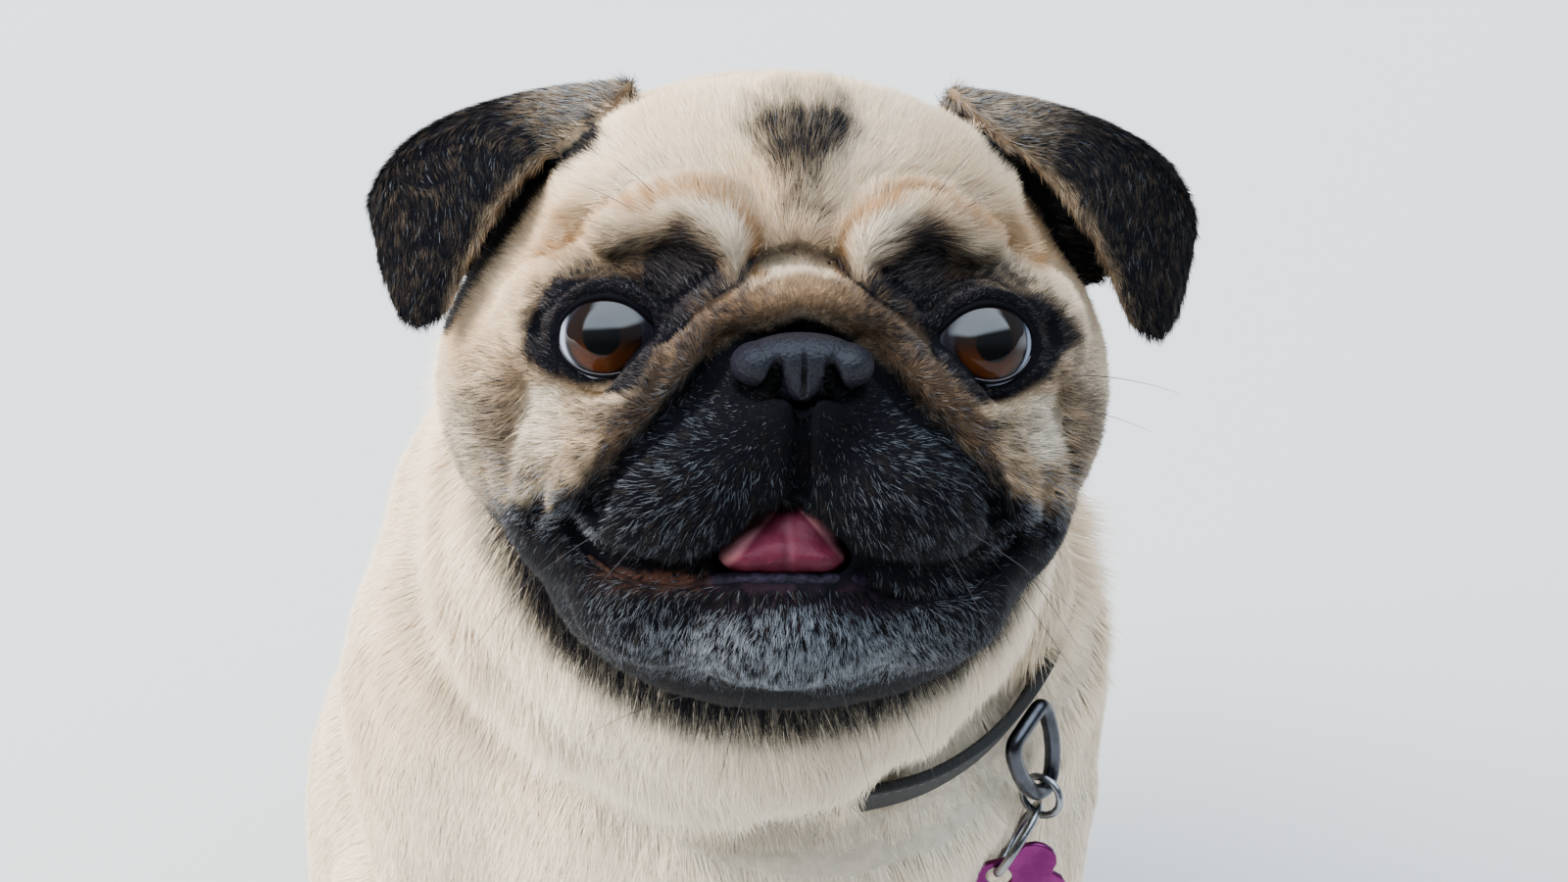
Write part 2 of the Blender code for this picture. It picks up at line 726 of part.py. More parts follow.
STRAP_WIDTH = 11 * MM
STRAP_THICK = 2.6 * MM
STRAP_SINK = 1 * MM
RING_WIRE = 1.9 * MM
SMALL_WIRE = 0.9 * MM


def sweep(name, path, outline, ups, closed):
    """Carries an outline along a path. 'ups' gives the direction of the outline's second axis at each point."""
    path = [Vector(p) for p in path]
    count = len(path)
    work = bmesh.new()
    rings = []
    for i, point in enumerate(path):
        before = path[i - 1] if i or closed else path[0]
        after = path[(i + 1) % count] if i < count - 1 or closed else path[-1]
        along = (after - before).normalized()
        up = (ups[i] - along * ups[i].dot(along)).normalized()
        side = up.cross(along)
        rings.append([work.verts.new(point + side * a + up * b) for a, b in outline])
    sides = len(outline)
    for i in range(count if closed else count - 1):
        first, second = rings[i], rings[(i + 1) % count]
        for k in range(sides):
            work.faces.new([first[k], first[(k + 1) % sides], second[(k + 1) % sides], second[k]])
    if not closed:
        work.faces.new(rings[0][::-1])
        work.faces.new(rings[-1])
    bmesh.ops.recalc_face_normals(work, faces=work.faces)
    mesh = bpy.data.meshes.new(name)
    work.to_mesh(mesh)
    work.free()
    if signed_volume(mesh) < 0:
        mesh.flip_normals()
    obj = bpy.data.objects.new(name, mesh)
    bpy.context.scene.collection.objects.link(obj)
    return obj


def circle(radius, sides):
    return [(radius * math.cos(2 * math.pi * k / sides), radius * math.sin(2 * math.pi * k / sides))
            for k in range(sides)]


def collar_path(body, count=28):
    """A closed line round the neck, in the collar's plane, on the surface of the coat."""
    tree = surface_tree(body)
    middle = (COLLAR_FRONT + COLLAR_BACK) / 2
    back = (COLLAR_BACK - COLLAR_FRONT).normalized()
    side = back.cross(collar_up())
    directions = [side * math.sin(a) - back * math.cos(a)
                  for a in (2 * math.pi * k / count for k in range(count))]
    reach = []
    for direction in directions:
        hit = tree.ray_cast(middle + direction * 0.3, -direction)[0]
        reach.append((hit - middle).length)
    for _ in range(2):
        reach = [(reach[k - 1] + 2 * reach[k] + reach[(k + 1) % count]) / 4 for k in range(count)]
    return [middle + d * (r - STRAP_SINK) for d, r in zip(directions, reach)]


def collar(path):
    wide, thick = STRAP_WIDTH / 2, STRAP_THICK / 2
    round_off = 0.5 * MM
    outline = [(thick, wide - round_off), (thick - round_off, wide), (round_off - thick, wide),
               (-thick, wide - round_off), (-thick, round_off - wide), (round_off - thick, -wide),
               (thick - round_off, -wide), (thick, round_off - wide)]
    return sweep("collar", path, outline, [collar_up()] * len(path), True)


def ring(name, centre, axis, down, radius, wire, count, sides=6):
    """A closed round ring about an axis, hanging straight along 'down'."""
    axis = (axis - down * axis.dot(down)).normalized()
    side = axis.cross(down)
    angles = [2 * math.pi * k / count for k in range(count)]
    path = [centre + (down * math.cos(a) + side * math.sin(a)) * radius for a in angles]
    return sweep(name, path, circle(wire, sides), [axis] * count, True)


def d_ring(hang, along, down, out, drop):
    """A D-shaped ring with its straight bar along the strap and its bow hanging down the chest."""
    half, corner = D_RING_HALF, D_RING_CORNER
    outline = [(-half, corner * 0.4), (-half * 0.8, 0), (0, 0), (half * 0.8, 0), (half, corner * 0.4)]
    outline += [(half * math.cos(a), corner + (drop - corner) * math.sin(a))
                for a in (math.pi * k / 10 for k in range(1, 10))]
    path = [hang + along * u + down * v for u, v in outline]
    return sweep("collar_ring", path, circle(RING_WIRE, 8), [out] * len(path), True)


def tag(centre, facing, up, size, thick):
    """A flat tag in the outline of a bone, with a hole for its ring. Nothing is written on it."""
    half, waist, lobe = size
    outline = []
    for k in range(44):
        a = 2 * math.pi * k / 44
        way = Vector((math.cos(a), math.sin(a)))
        reach = min(half / max(abs(way.x), 1e-6), waist / max(abs(way.y), 1e-6))
        for x, z in ((half, 1), (half, -1), (-half, 1), (-half, -1)):
            spot = Vector((x, z * lobe * 0.8))
            inside = spot.dot(way) ** 2 - spot.length_squared + lobe ** 2
            if inside > 0:
                reach = max(reach, spot.dot(way) + math.sqrt(inside))
        outline.append((way.x * reach, way.y * reach))
    form = prism("tag", outline, -thick / 2, thick / 2)
    bpy.ops.mesh.primitive_cylinder_add(vertices=12, radius=TAG_HOLE, depth=thick * 3)
    upright = Matrix.Rotation(math.radians(90), 4, "X")
    bpy.context.object.matrix_world = Matrix.Translation((0, 0, waist - TAG_HOLE - TAG_RIM)) @ upright
    combine(form, take_active("hole"), "DIFFERENCE")
    back = -facing.normalized()
    right = back.cross(up).normalized()
    turned = Matrix((right, back, right.cross(back))).transposed().to_4x4()
    form.matrix_world = Matrix.Translation(centre) @ turned
    bake_place(form)
    return keep_largest(form)


def chest_point(tree, x, z, out):
    """A point at a little distance in front of the chest, and the way the coat faces there."""
    hit, normal, _, _ = tree.ray_cast(Vector((x, -0.4, z)), Vector((0, 1, 0)))
    return hit + normal * out, normal


def hangings(body, strap_path):
    """The D-ring, the two rings that hang from it and the tag, on the dog's left of the chest."""
    tree = surface_tree(body)
    k = min(range(len(strap_path)), key=lambda i: (strap_path[i] - HANG_POINT).length)
    along = (strap_path[k + 1] - strap_path[k - 1]).normalized()
    hang = strap_path[k] + along * (HANG_POINT - strap_path[k]).dot(along)
    bow, out = chest_point(tree, BOW_POINT.x, BOW_POINT.z, 2.8 * MM)
    hang = hang + out * (STRAP_THICK / 2 + RING_WIRE + 2 * GAP)
    drop = bow - hang
    down = (drop - along * drop.dot(along)).normalized()
    out = along.cross(down)
    out = out if out.dot(hang - mm(0, -20, 240)) > 0 else -out
    length = drop.dot(down)
    bow = hang + down * length
    worn = {"collar_ring": d_ring(hang, along, down, out, length)}
    # the small ring goes round the side of the bow and carries the split ring, which lies on the chest
    fall = Vector((0, 0, -1))
    across = (along - fall * along.dot(fall)).normalized()
    ahead = fall.cross(across)
    ahead = ahead if ahead.dot(out) > 0 else -ahead
    turn = math.radians(LINK_TURN)
    held = hang + along * D_RING_HALF * math.cos(turn) + down * (D_RING_CORNER + (length - D_RING_CORNER) * math.sin(turn))
    sag = (fall - across * 0.2).normalized()
    small = held + sag * (SMALL_RING - SMALL_WIRE - RING_WIRE - 3 * GAP)
    worn["small_ring"] = ring("small_ring", small, across, sag, SMALL_RING, SMALL_WIRE, 14)
    link = small + sag * (SMALL_RING - SMALL_WIRE - SPLIT_WIRE - 2 * GAP)
    lean = SPLIT_LEAN.normalized()
    split = link + lean * SPLIT_RING
    worn["split_ring"] = ring("split_ring", split, ahead + across * 0.45, lean, SPLIT_RING, SPLIT_WIRE, 20)
    low = split + lean * SPLIT_RING
    tag_up = TAG_UP.normalized()
    facing = (TAG_FACING - tag_up * TAG_FACING.dot(tag_up)).normalized()
    hole = low - tag_up * (TAG_HOLE - SPLIT_WIRE - 2 * GAP)
    worn["tag"] = tag(hole - tag_up * (TAG_SIZE[1] - TAG_HOLE - TAG_RIM), facing, tag_up, TAG_SIZE, TAG_THICK)
    return worn


HANG_POINT = mm(51.5, -64, 222)
BOW_POINT = mm(61.5, 0, 196.5)
D_RING_HALF = 7.5 * MM
D_RING_CORNER = 4 * MM
LINK_TURN = 104
SMALL_RING = 4.8 * MM
SPLIT_RING = 9.2 * MM
SPLIT_WIRE = 1 * MM
SPLIT_LEAN = Vector((-0.56, -0.22, -0.8))
TAG_HOLE = 3 * MM
TAG_RIM = 1.6 * MM
TAG_SIZE = (8.8 * MM, 6.4 * MM, 5.2 * MM)
TAG_UP = Vector((-0.28, 0.1, 0.96))
TAG_FACING = Vector((-0.25, -0.95, 0.15))
TAG_THICK = 1.5 * MM


def finish(obj, name, finish_name):
    """Names a finished node, gives it its finish and puts it in the dog's collection."""
    obj.name = name
    obj.data.name = name
    obj.data.materials.clear()
    obj.data.materials.append(material(finish_name))
    obj.data.shade_smooth()
    for collection in list(obj.users_collection):
        collection.objects.unlink(obj)
    bpy.data.collections["pug"].objects.link(obj)
    return obj


def set_on_origin(nodes):
    """Moves everything so that the bottom middle of the whole lies at the origin."""
    corners = np.vstack([points_of(obj) for obj in nodes])
    low, high = corners.min(0), corners.max(0)
    shift = Matrix.Translation((-(low[0] + high[0]) / 2, -(low[1] + high[1]) / 2, -low[2]))
    for obj in nodes:
        obj.data.transform(shift)


def main():
    clear_scene()
    new_collection("pug")

    head = head_form()
    nose_pad = nose()
    tongue_form = tongue()
    eyes = {side: eye(side, sign) for side, sign in SIDES.items()}
    ears = {side: cut_clear(ear(side, sign), head) for side, sign in SIDES.items()}
    combine(head, mouth_opening(), "DIFFERENCE")
    for inset in (nose_pad, tongue_form, *eyes.values()):
        combine(head, swollen(inset), "DIFFERENCE")
    keep_largest(head)
    region = jaw_region()
    place = head_matrix()
    for obj in [head, nose_pad, tongue_form, region, *eyes.values(), *ears.values()]:
        obj.matrix_world = place
        bake_place(obj)

    body = body_form()
    strap_path = collar_path(body)
    strap = collar(strap_path)
    worn = hangings(body, strap_path)
    cut_clear(strap, worn["collar_ring"])
    whole = combine(copy_of(head), copy_of(body), "UNION")
    bpy.data.objects.remove(head)
    keep_largest(whole)
    for obj in ears.values():
        cut_clear(obj, body)
    bpy.data.objects.remove(body)
    for obj in (strap, *worn.values()):
        combine(whole, swollen(obj), "DIFFERENCE")
    keep_largest(whole)

    head = part_off(whole, "head", head_region())
    jaw = part_off(head, "jaw", region)
    neck = part_off(whole, "neck", half_space((COLLAR_FRONT + COLLAR_BACK) / 2, collar_up()))
    torso = whole

    nodes = [
        finish(head, "head", "fawn"),
        finish(jaw, "jaw", "mask"),
        finish(nose_pad, "nose", "nose"),
        finish(tongue_form, "tongue", "tongue"),
        finish(neck, "neck", "cream"),
        finish(torso, "torso", "cream"),
    ]
    for side, sign in SIDES.items():
        nodes.append(finish(eyes[side], f"eye_{side}", "eye"))
        nodes.append(finish(ears[side], f"ear_{side}", "mask"))
        foot = paw(mm(sign * 56, -62, 0), 1.0, sign * 2)
        leg = cut_clear(part_off(torso, "leg", foreleg_region(sign)), foot)
        nodes.append(finish(leg, f"foreleg_{side}", "cream"))
        nodes.append(finish(foot, f"forepaw_{side}", "cream"))
        foot = paw(mm(sign * 90, -14, 0), 0.95, sign * 6)
        leg = cut_clear(part_off(torso, "leg", hind_leg_region(sign)), foot)
        nodes.append(finish(leg, f"hind_leg_{side}", "fawn"))
        nodes.append(finish(foot, f"hind_paw_{side}", "cream"))
    tail_form = cut_clear(tail(), torso)
    nodes.append(finish(tail_form, "tail", "fawn"))
    nodes.append(finish(strap, "collar", "strap"))
    for name, obj in worn.items():
        nodes.append(finish(obj, name, "tag" if name == "tag" else "steel"))
    set_on_origin(nodes)


main()
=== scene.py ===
"""The pug as a still, life-size model: one skin with its coat of short tufts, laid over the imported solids."""

import math

import bpy
import numpy as np
from mathutils import Matrix, Vector
from mathutils.bvhtree import BVHTree


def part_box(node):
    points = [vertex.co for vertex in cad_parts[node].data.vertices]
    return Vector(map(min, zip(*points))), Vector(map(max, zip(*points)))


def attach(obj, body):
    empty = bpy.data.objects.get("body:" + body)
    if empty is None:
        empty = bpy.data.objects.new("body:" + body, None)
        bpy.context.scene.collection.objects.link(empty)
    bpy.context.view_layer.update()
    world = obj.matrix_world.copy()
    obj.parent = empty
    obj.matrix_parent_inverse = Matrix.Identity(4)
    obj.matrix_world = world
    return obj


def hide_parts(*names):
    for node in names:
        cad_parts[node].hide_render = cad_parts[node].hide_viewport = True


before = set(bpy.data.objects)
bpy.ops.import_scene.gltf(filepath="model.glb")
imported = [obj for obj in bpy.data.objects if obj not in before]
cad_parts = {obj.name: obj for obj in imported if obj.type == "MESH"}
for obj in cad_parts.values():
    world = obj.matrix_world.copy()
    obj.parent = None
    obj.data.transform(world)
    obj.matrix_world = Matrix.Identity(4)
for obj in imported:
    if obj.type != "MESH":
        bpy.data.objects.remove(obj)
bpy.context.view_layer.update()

MM = 0.001
SIDES = {"right": -1, "left": 1}


# Where the head is

def node_middle(name):
    low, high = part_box(name)
    return (low + high) / 2


EYES = (node_middle("eye_left") + node_middle("eye_right")) / 2
BODY_SHIFT = EYES - Vector((0, -92, 345)) * MM
LOOK_UP, LOOK_RIGHT, HEAD_TILT = (math.radians(angle) for angle in (35, 6.5, 3.7))
HEAD = (Matrix.Translation(EYES) @ Matrix.Rotation(-LOOK_RIGHT, 4, "Z")
        @ Matrix.Rotation(-LOOK_UP, 4, "X") @ Matrix.Rotation(HEAD_TILT, 4, "Y"))
EYE_APART = 70 * MM
EYE_RADIUS = 10.8 * MM
EYE_OPENING = (9.0, 7.4)


def eye_place(sign):
    """The middle of an eye, turned a little outwards, in the row frame."""
    outwards = Matrix.Rotation(sign * math.radians(12), 4, "Z")
    return HEAD @ Matrix.Translation((sign * EYE_APART / 2, 0, 0)) @ outwards


def lid_reach(x, z, sign):
    """Where a place lies across the opening of an eye: 1 on the edge of its lids, drawn out to corners."""
    angle = np.arctan2(z, x * -sign)
    inner = 0.17 * np.maximum(np.cos(angle + 0.30), 0) ** 8
    corners = inner + 0.07 * np.maximum(-np.cos(angle - 0.12), 0) ** 8
    return np.hypot(x / EYE_OPENING[0], z / EYE_OPENING[1]) / (1 + corners)


def at_body(x, y, z):
    return Vector((x, y, z)) * MM + BODY_SHIFT


def in_body(points):
    """Places on the body's own grid, in millimetres."""
    return (points - np.array(BODY_SHIFT)) / MM


def at_head(x, y, z):
    return HEAD @ (Vector((x, y, z)) * MM)


def carried(points, matrix):
    m = np.array(matrix)
    return points @ m[:3, :3].T + m[:3, 3]


def in_head(points):
    """Places in the head's own frame, in millimetres: x to the dog's left, y back, z up the face."""
    return carried(points, HEAD.inverted()) / MM


def turned(ways, matrix):
    return ways @ np.array(matrix)[:3, :3].T


# Meshes

def pick(*objects):
    bpy.ops.object.select_all(action="DESELECT")
    for obj in objects:
        obj.select_set(True)
    bpy.context.view_layer.objects.active = objects[-1]


def apply_modifiers(obj):
    pick(obj)
    for modifier in list(obj.modifiers):
        bpy.ops.object.modifier_apply(modifier=modifier.name)
    return obj


def settle(obj, name, matrix=None):
    """Puts an object's place into its mesh and gives it its name."""
    if matrix is not None:
        obj.matrix_world = matrix
    pick(obj)
    bpy.ops.object.transform_apply(location=True, rotation=True, scale=True)
    obj.name = obj.data.name = name
    return obj


def link(mesh, name):
    obj = bpy.data.objects.new(name, mesh)
    bpy.context.scene.collection.objects.link(obj)
    return obj


def from_arrays(name, points, faces):
    mesh = bpy.data.meshes.new(name)
    mesh.vertices.add(len(points))
    mesh.vertices.foreach_set("co", np.asarray(points, np.float32).ravel())
    faces = np.asarray(faces, np.int32)
    sides = faces.shape[1]
    mesh.loops.add(faces.size)
    mesh.loops.foreach_set("vertex_index", faces.ravel())
    mesh.polygons.add(len(faces))
    mesh.polygons.foreach_set("loop_start", np.arange(len(faces), dtype=np.int32) * sides)
    mesh.update(calc_edges=True)
    mesh.shade_smooth()
    return link(mesh, name)


def points_of(obj):
    points = np.empty(len(obj.data.vertices) * 3, np.float32)
    obj.data.vertices.foreach_get("co", points)
    return points.reshape(-1, 3).astype(float)


def set_points(obj, points):
    obj.data.vertices.foreach_set("co", np.asarray(points, np.float32).ravel())
    obj.data.update()


def normals_of(obj):
    normals = np.empty(len(obj.data.vertices) * 3, np.float32)
    obj.data.vertex_normals.foreach_get("vector", normals)
    return normals.reshape(-1, 3).astype(float)


def edges_of(obj):
    edges = np.empty(len(obj.data.edges) * 2, np.int32)
    obj.data.edges.foreach_get("vertices", edges)
    return edges.reshape(-1, 2)


def triangles_of(obj):
    obj.data.calc_loop_triangles()
    triangles = np.empty(len(obj.data.loop_triangles) * 3, np.int32)
    obj.data.loop_triangles.foreach_get("vertices", triangles)
    return triangles.reshape(-1, 3)


def unit(ways):
    return ways / np.maximum(np.linalg.norm(ways, axis=-1, keepdims=True), 1e-12)


def relaxed(values, edges, amount, rounds):
    """Draws each value towards the mean of its neighbours."""
    values = values.reshape(len(values), -1)
    count = len(values)
    degree = np.maximum(np.bincount(edges.ravel(), minlength=count), 1)[:, None]
    amount = np.broadcast_to(amount, count)[:, None]
    first, second = edges.T
    for _ in range(rounds):
        total = np.stack([np.bincount(first, column[second], count)
                          + np.bincount(second, column[first], count) for column in values.T], 1)
        values = values + (total / degree - values) * amount
    return values


def step(value, low, high):
    t = np.clip((value - low) / (high - low), 0, 1)
    return t * t * (3 - 2 * t)


def ripple(points, size, seed):
    """A soft uneven value between about -1 and 1, at a size in metres."""
    draws = np.random.default_rng(seed)
    total = np.zeros(len(points))
    for _ in range(6):
        way = draws.normal(size=3)
        way *= draws.uniform(0.6, 1.6) / np.linalg.norm(way)
        total += np.sin(points @ way * 2 * math.pi / size + draws.uniform(0, 7))
    return total / 3


def smooth_line(rows, count):
    """Points along a smooth curve through the rows."""
    rows = np.asarray(rows, float)
    padded = np.vstack([2 * rows[0] - rows[1], rows, 2 * rows[-1] - rows[-2]])
    line = []
    for t in np.linspace(0, len(rows) - 1, count):
        i = min(int(t), len(rows) - 2)
        u = t - i
        a, b, c, d = padded[i:i + 4]
        line.append(0.5 * (2 * b + (c - a) * u + (2 * a - 5 * b + 4 * c - d) * u ** 2
                           + (3 * b - a - 3 * c + d) * u ** 3))
    return np.array(line)


def ball(centre, radii, matrix=Matrix()):
    """A round form in millimetres, at its place in a frame such as the head's."""
    bpy.ops.mesh.primitive_uv_sphere_add(segments=32, ring_count=16, radius=1)
    shape = Matrix.Translation(Vector(centre) * MM) @ Matrix.Diagonal((*(Vector(radii) * MM), 1))
    obj = settle(bpy.context.object, "ball", shape)
    obj.data.transform(matrix)
    return obj


def beads(name, centres, radii):
    """Round beads in a row, one shape copied to every place."""
    bpy.ops.mesh.primitive_ico_sphere_add(subdivisions=3, radius=1)
    bead = bpy.context.object
    shape, faces = points_of(bead), triangles_of(bead)
    bpy.data.objects.remove(bead)
    radii = np.broadcast_to(radii, len(centres))
    points = np.vstack([shape * radius + centre for centre, radius in zip(centres, radii)])
    return from_arrays(name, points, np.vstack([faces + i * len(shape) for i in range(len(centres))]))


def tube(name, path, radii, sides=12, closed=False, flat=1.0, up=(0, 0, 1)):
    """A round or flattened rod along a path, with closed ends unless it is a ring."""
    path = np.asarray(path, float)
    count = len(path)
    along = unit(np.roll(path, -1, 0) - np.roll(path, 1, 0)) if closed else unit(np.gradient(path, axis=0))
    ups = np.broadcast_to(np.asarray(up, float), path.shape)
    ups = unit(ups - along * (ups * along).sum(1, keepdims=True))
    side = np.cross(ups, along)
    radii = np.broadcast_to(radii, count)[:, None, None]
    angles = np.arange(sides) * 2 * math.pi / sides
    ring = np.cos(angles)[None, :, None] * side[:, None] + flat * np.sin(angles)[None, :, None] * ups[:, None]
    points = (path[:, None] + ring * radii).reshape(-1, 3)
    rows = np.arange(count if closed else count - 1)
    k = np.arange(sides)
    a = rows[:, None] * sides + k
    b = rows[:, None] * sides + (k + 1) % sides
    c = ((rows + 1) % count)[:, None] * sides + (k + 1) % sides
    d = ((rows + 1) % count)[:, None] * sides + k
    faces = np.stack([a, d, c, b], -1).reshape(-1, 4)
    triangles = np.vstack([faces[:, [0, 1, 2]], faces[:, [0, 2, 3]]])
    if not closed:
        ends = len(points) + np.arange(2)
        points = np.vstack([points, path[0], path[-1]])
        last = (count - 1) * sides
        start = np.stack([np.full(sides, ends[0]), k, (k + 1) % sides], 1)
        finish = np.stack([np.full(sides, ends[1]), last + (k + 1) % sides, last + k], 1)
        triangles = np.vstack([triangles, start, finish])
    return from_arrays(name, points, triangles[:, ::-1])


def joined(name, objects):
    pick(*objects)
    bpy.ops.object.join()
    obj = bpy.context.object
    obj.name = obj.data.name = name
    return obj


def one_surface(obj, voxel, rounds=0):
    """Fuses all that overlaps into one closed surface and smooths it without shrinking it."""
    remesh = obj.modifiers.new("one surface", "REMESH")
    remesh.mode = "VOXEL"
    remesh.voxel_size = voxel
    apply_modifiers(obj)
    if rounds:
        points, edges = points_of(obj), edges_of(obj)
        for _ in range(rounds):
            points = relaxed(points, edges, 0.5, 1)
            points = relaxed(points, edges, -0.52, 1)
        set_points(obj, points)
    obj.data.shade_smooth()
    return obj


def edit_all(obj, *steps):
    """Selects the whole of a mesh in edit mode and takes each step on it."""
    pick(obj)
    bpy.ops.object.mode_set(mode="EDIT")
    bpy.ops.mesh.select_all(action="SELECT")
    for step_of in steps:
        step_of()
    bpy.ops.object.mode_set(mode="OBJECT")


def node_copy(name, swell=0.0):
    """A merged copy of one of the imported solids, a little swollen if asked."""
    obj = link(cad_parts[name].data.copy(), name + "_copy")
    obj.data.materials.clear()
    edit_all(obj, lambda: bpy.ops.mesh.remove_doubles(threshold=0.000002),
             lambda: bpy.ops.transform.shrink_fatten(value=swell))
    return obj


def tree_of_nodes(*names):
    """What near places and rays are looked up in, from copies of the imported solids."""
    copies = [node_copy(name) for name in names]
    tree = surface_tree(*copies)
    for obj in copies:
        bpy.data.objects.remove(obj)
    return tree


def surface_tree(*objects):
    points, faces, start = [], [], 0
    for obj in objects:
        points.append(points_of(obj))
        faces.append(triangles_of(obj) + start)
        start += len(points[-1])
    return BVHTree.FromPolygons(np.vstack(points).tolist(), np.vstack(faces).tolist())


def on_face(tree, x, z, sunk=0.0):
    """The place on the face that is seen at x and z, looking straight at it."""
    way = (HEAD.to_3x3() @ Vector((0, 1, 0))).normalized()
    hit = tree.ray_cast(at_head(x, -90, z), way)[0]
    return hit + way * sunk * MM


# Materials

class Wire:
    """A value or colour on its way through a finish's nodes."""

    def __init__(self, finish, socket):
        self.finish = finish
        self.socket = socket

    def _maths(self, operation, *others):
        values = {0: self}
        values.update({i + 1: other for i, other in enumerate(others)})
        return self.finish.node("ShaderNodeMath", {"operation": operation}, values)

    def __add__(self, other):
        return self._maths("ADD", other)

    def __radd__(self, other):
        return self._maths("ADD", other)

    def __mul__(self, other):
        return self._maths("MULTIPLY", other)

    def __rmul__(self, other):
        return self._maths("MULTIPLY", other)

    def __sub__(self, other):
        return self._maths("SUBTRACT", other)

    def __rsub__(self, other):
        return self._maths("MULTIPLY_ADD", -1.0, other)

    def __truediv__(self, other):
        return self._maths("DIVIDE", other)

    def __pow__(self, other):
        return self._maths("POWER", other)

    def ramp(self, low, high, smooth=True):
        """0 at and below low, 1 at and above high."""
        settings = {"interpolation_type": "SMOOTHSTEP" if smooth else "LINEAR"}
        inputs = {"Value": self, "From Min": low, "From Max": high}
        return self.finish.node("ShaderNodeMapRange", settings, inputs)

    def most(self, other):
        return self._maths("MAXIMUM", other)

    def sine(self):
        return self._maths("SINE")

    def size(self):
        return self._maths("ABSOLUTE")


class Board:
    """The nodes of a material or of the world."""

    def __init__(self, owner):
        owner.use_nodes = True
        self.tree = owner.node_tree

    def put(self, socket, value):
        if isinstance(value, Wire):
            self.tree.links.new(value.socket, socket)
        else:
            if socket.type == "RGBA" and len(value) == 3:
                value = (*value, 1.0)
            socket.default_value = value

    def outputs(self, kind, settings=None, inputs=None):
        made = self.tree.nodes.new(kind)
        for key, value in (settings or {}).items():
            setattr(made, key, value)
        for key, value in (inputs or {}).items():
            self.put(made.inputs[key], value)
        return [Wire(self, socket) for socket in made.outputs]

    def node(self, kind, settings=None, inputs=None, output=0):
        return self.outputs(kind, settings, inputs)[output]

    def split(self, way):
        return self.outputs("ShaderNodeSeparateXYZ", inputs={0: way})


class Finish(Board):
    """A material made of nodes."""

    def __init__(self, name, **constants):
        self.material = bpy.data.materials.new(name)
        super().__init__(self.material)
        self.shader = self.tree.nodes["Principled BSDF"]
        for key, value in constants.items():
            self.shader.inputs[key.replace("_", " ").title().replace("Ior", "IOR")].default_value = value

    def place(self):
        return self.node("ShaderNodeTexCoord", output=3)

    def away_from(self, matrix):
        """The way to each place from the origin of a frame."""
        return self.vector("SUBTRACT", self.place(), tuple(matrix.translation))

    def axes(self, matrix, size):
        """How far each place is along the axes of a frame, in parts of a size."""
        away = self.away_from(matrix)
        return [self.vector("DOT_PRODUCT", away, tuple(axis), 1) * (1 / size) for axis in matrix.to_3x3().col]

    def parts(self, name):
        """The red, green and blue of one of the piece's own attributes."""
        stored = self.node("ShaderNodeAttribute", {"attribute_name": name})
        return self.outputs("ShaderNodeSeparateColor", inputs={0: stored})

    def mix(self, amount, first, second, blend="MIX"):
        settings = {"data_type": "RGBA", "blend_type": blend}
        return self.node("ShaderNodeMix", settings, {0: amount, 6: first, 7: second}, 2)

    def vector(self, operation, first, second=None, output=0):
        inputs = {0: first} if second is None else {0: first, 1: second}
        return self.node("ShaderNodeVectorMath", {"operation": operation}, inputs, output)

    def noise(self, where, scale, detail=3.0):
        return self.node("ShaderNodeTexNoise", inputs={"Vector": where, "Scale": scale, "Detail": detail})

    def bump(self, height, distance, strength):
        inputs = {"Height": height, "Distance": distance, "Strength": strength}
        self.set(Normal=self.node("ShaderNodeBump", inputs=inputs))

    def set(self, **values):
        for key, value in values.items():
            self.put(self.shader.inputs[key.replace("_", " ")], value)


def dress(obj, finish, slot, *nodes):
    """Gives a piece its finish, hangs it on the root and hides the solids it stands for."""
    obj.data.materials.clear()
    obj.data.materials.append(finish.material)
    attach(obj, "root")
    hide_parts(*nodes)


# The camera, the floor and the light

CAMERA_SIDE, CAMERA_UP, CAMERA_AWAY = math.radians(-11.5), math.radians(35), 0.70
PHOTO_WIDE = 0.3008
IN_VIEW = (0.00207, 0.01936)
towards = Vector((math.sin(CAMERA_SIDE) * math.cos(CAMERA_UP), -math.cos(CAMERA_SIDE) * math.cos(CAMERA_UP),
                  math.sin(CAMERA_UP)))
view_right = Vector((0, 0, 1)).cross(towards).normalized()
view_up = towards.cross(view_right)


def set_camera():
    data = bpy.data.cameras.new("camera")
    camera = bpy.data.objects.new("camera", data)
    bpy.context.scene.collection.objects.link(camera)
    camera.location = EYES + towards * CAMERA_AWAY
    target = EYES - view_right * IN_VIEW[0] - view_up * IN_VIEW[1]
    camera.rotation_euler = (target - camera.location).to_track_quat("-Z", "Y").to_euler()
    data.sensor_width = 36
    data.lens = 36 * CAMERA_AWAY / PHOTO_WIDE
    data.clip_start = 0.01
    bpy.context.scene.camera = camera


def lay_floor():
    bpy.ops.mesh.primitive_grid_add(x_subdivisions=8, y_subdivisions=8, size=7)
    floor = settle(bpy.context.object, "floor")
    paper = Finish("floor paper", roughness=0.9)
    grain = paper.noise(paper.place(), 900)
    paper.set(Base_Color=paper.mix(grain, (0.48, 0.48, 0.477), (0.51, 0.51, 0.507)))
    floor.data.materials.append(paper.material)


def soft_light(name, place, aim, wide, high, power, colour):
    data = bpy.data.lights.new(name, "AREA")
    data.shape = "RECTANGLE"
    data.size, data.size_y, data.energy, data.color = wide, high, power, colour
    light = bpy.data.objects.new(name, data)
    bpy.context.scene.collection.objects.link(light)
    light.location = place
    light.rotation_euler = (Vector(aim) - light.location).to_track_quat("-Z", "Y").to_euler()
    light.visible_glossy = False


SKY, DIM = 5.4, 0.24


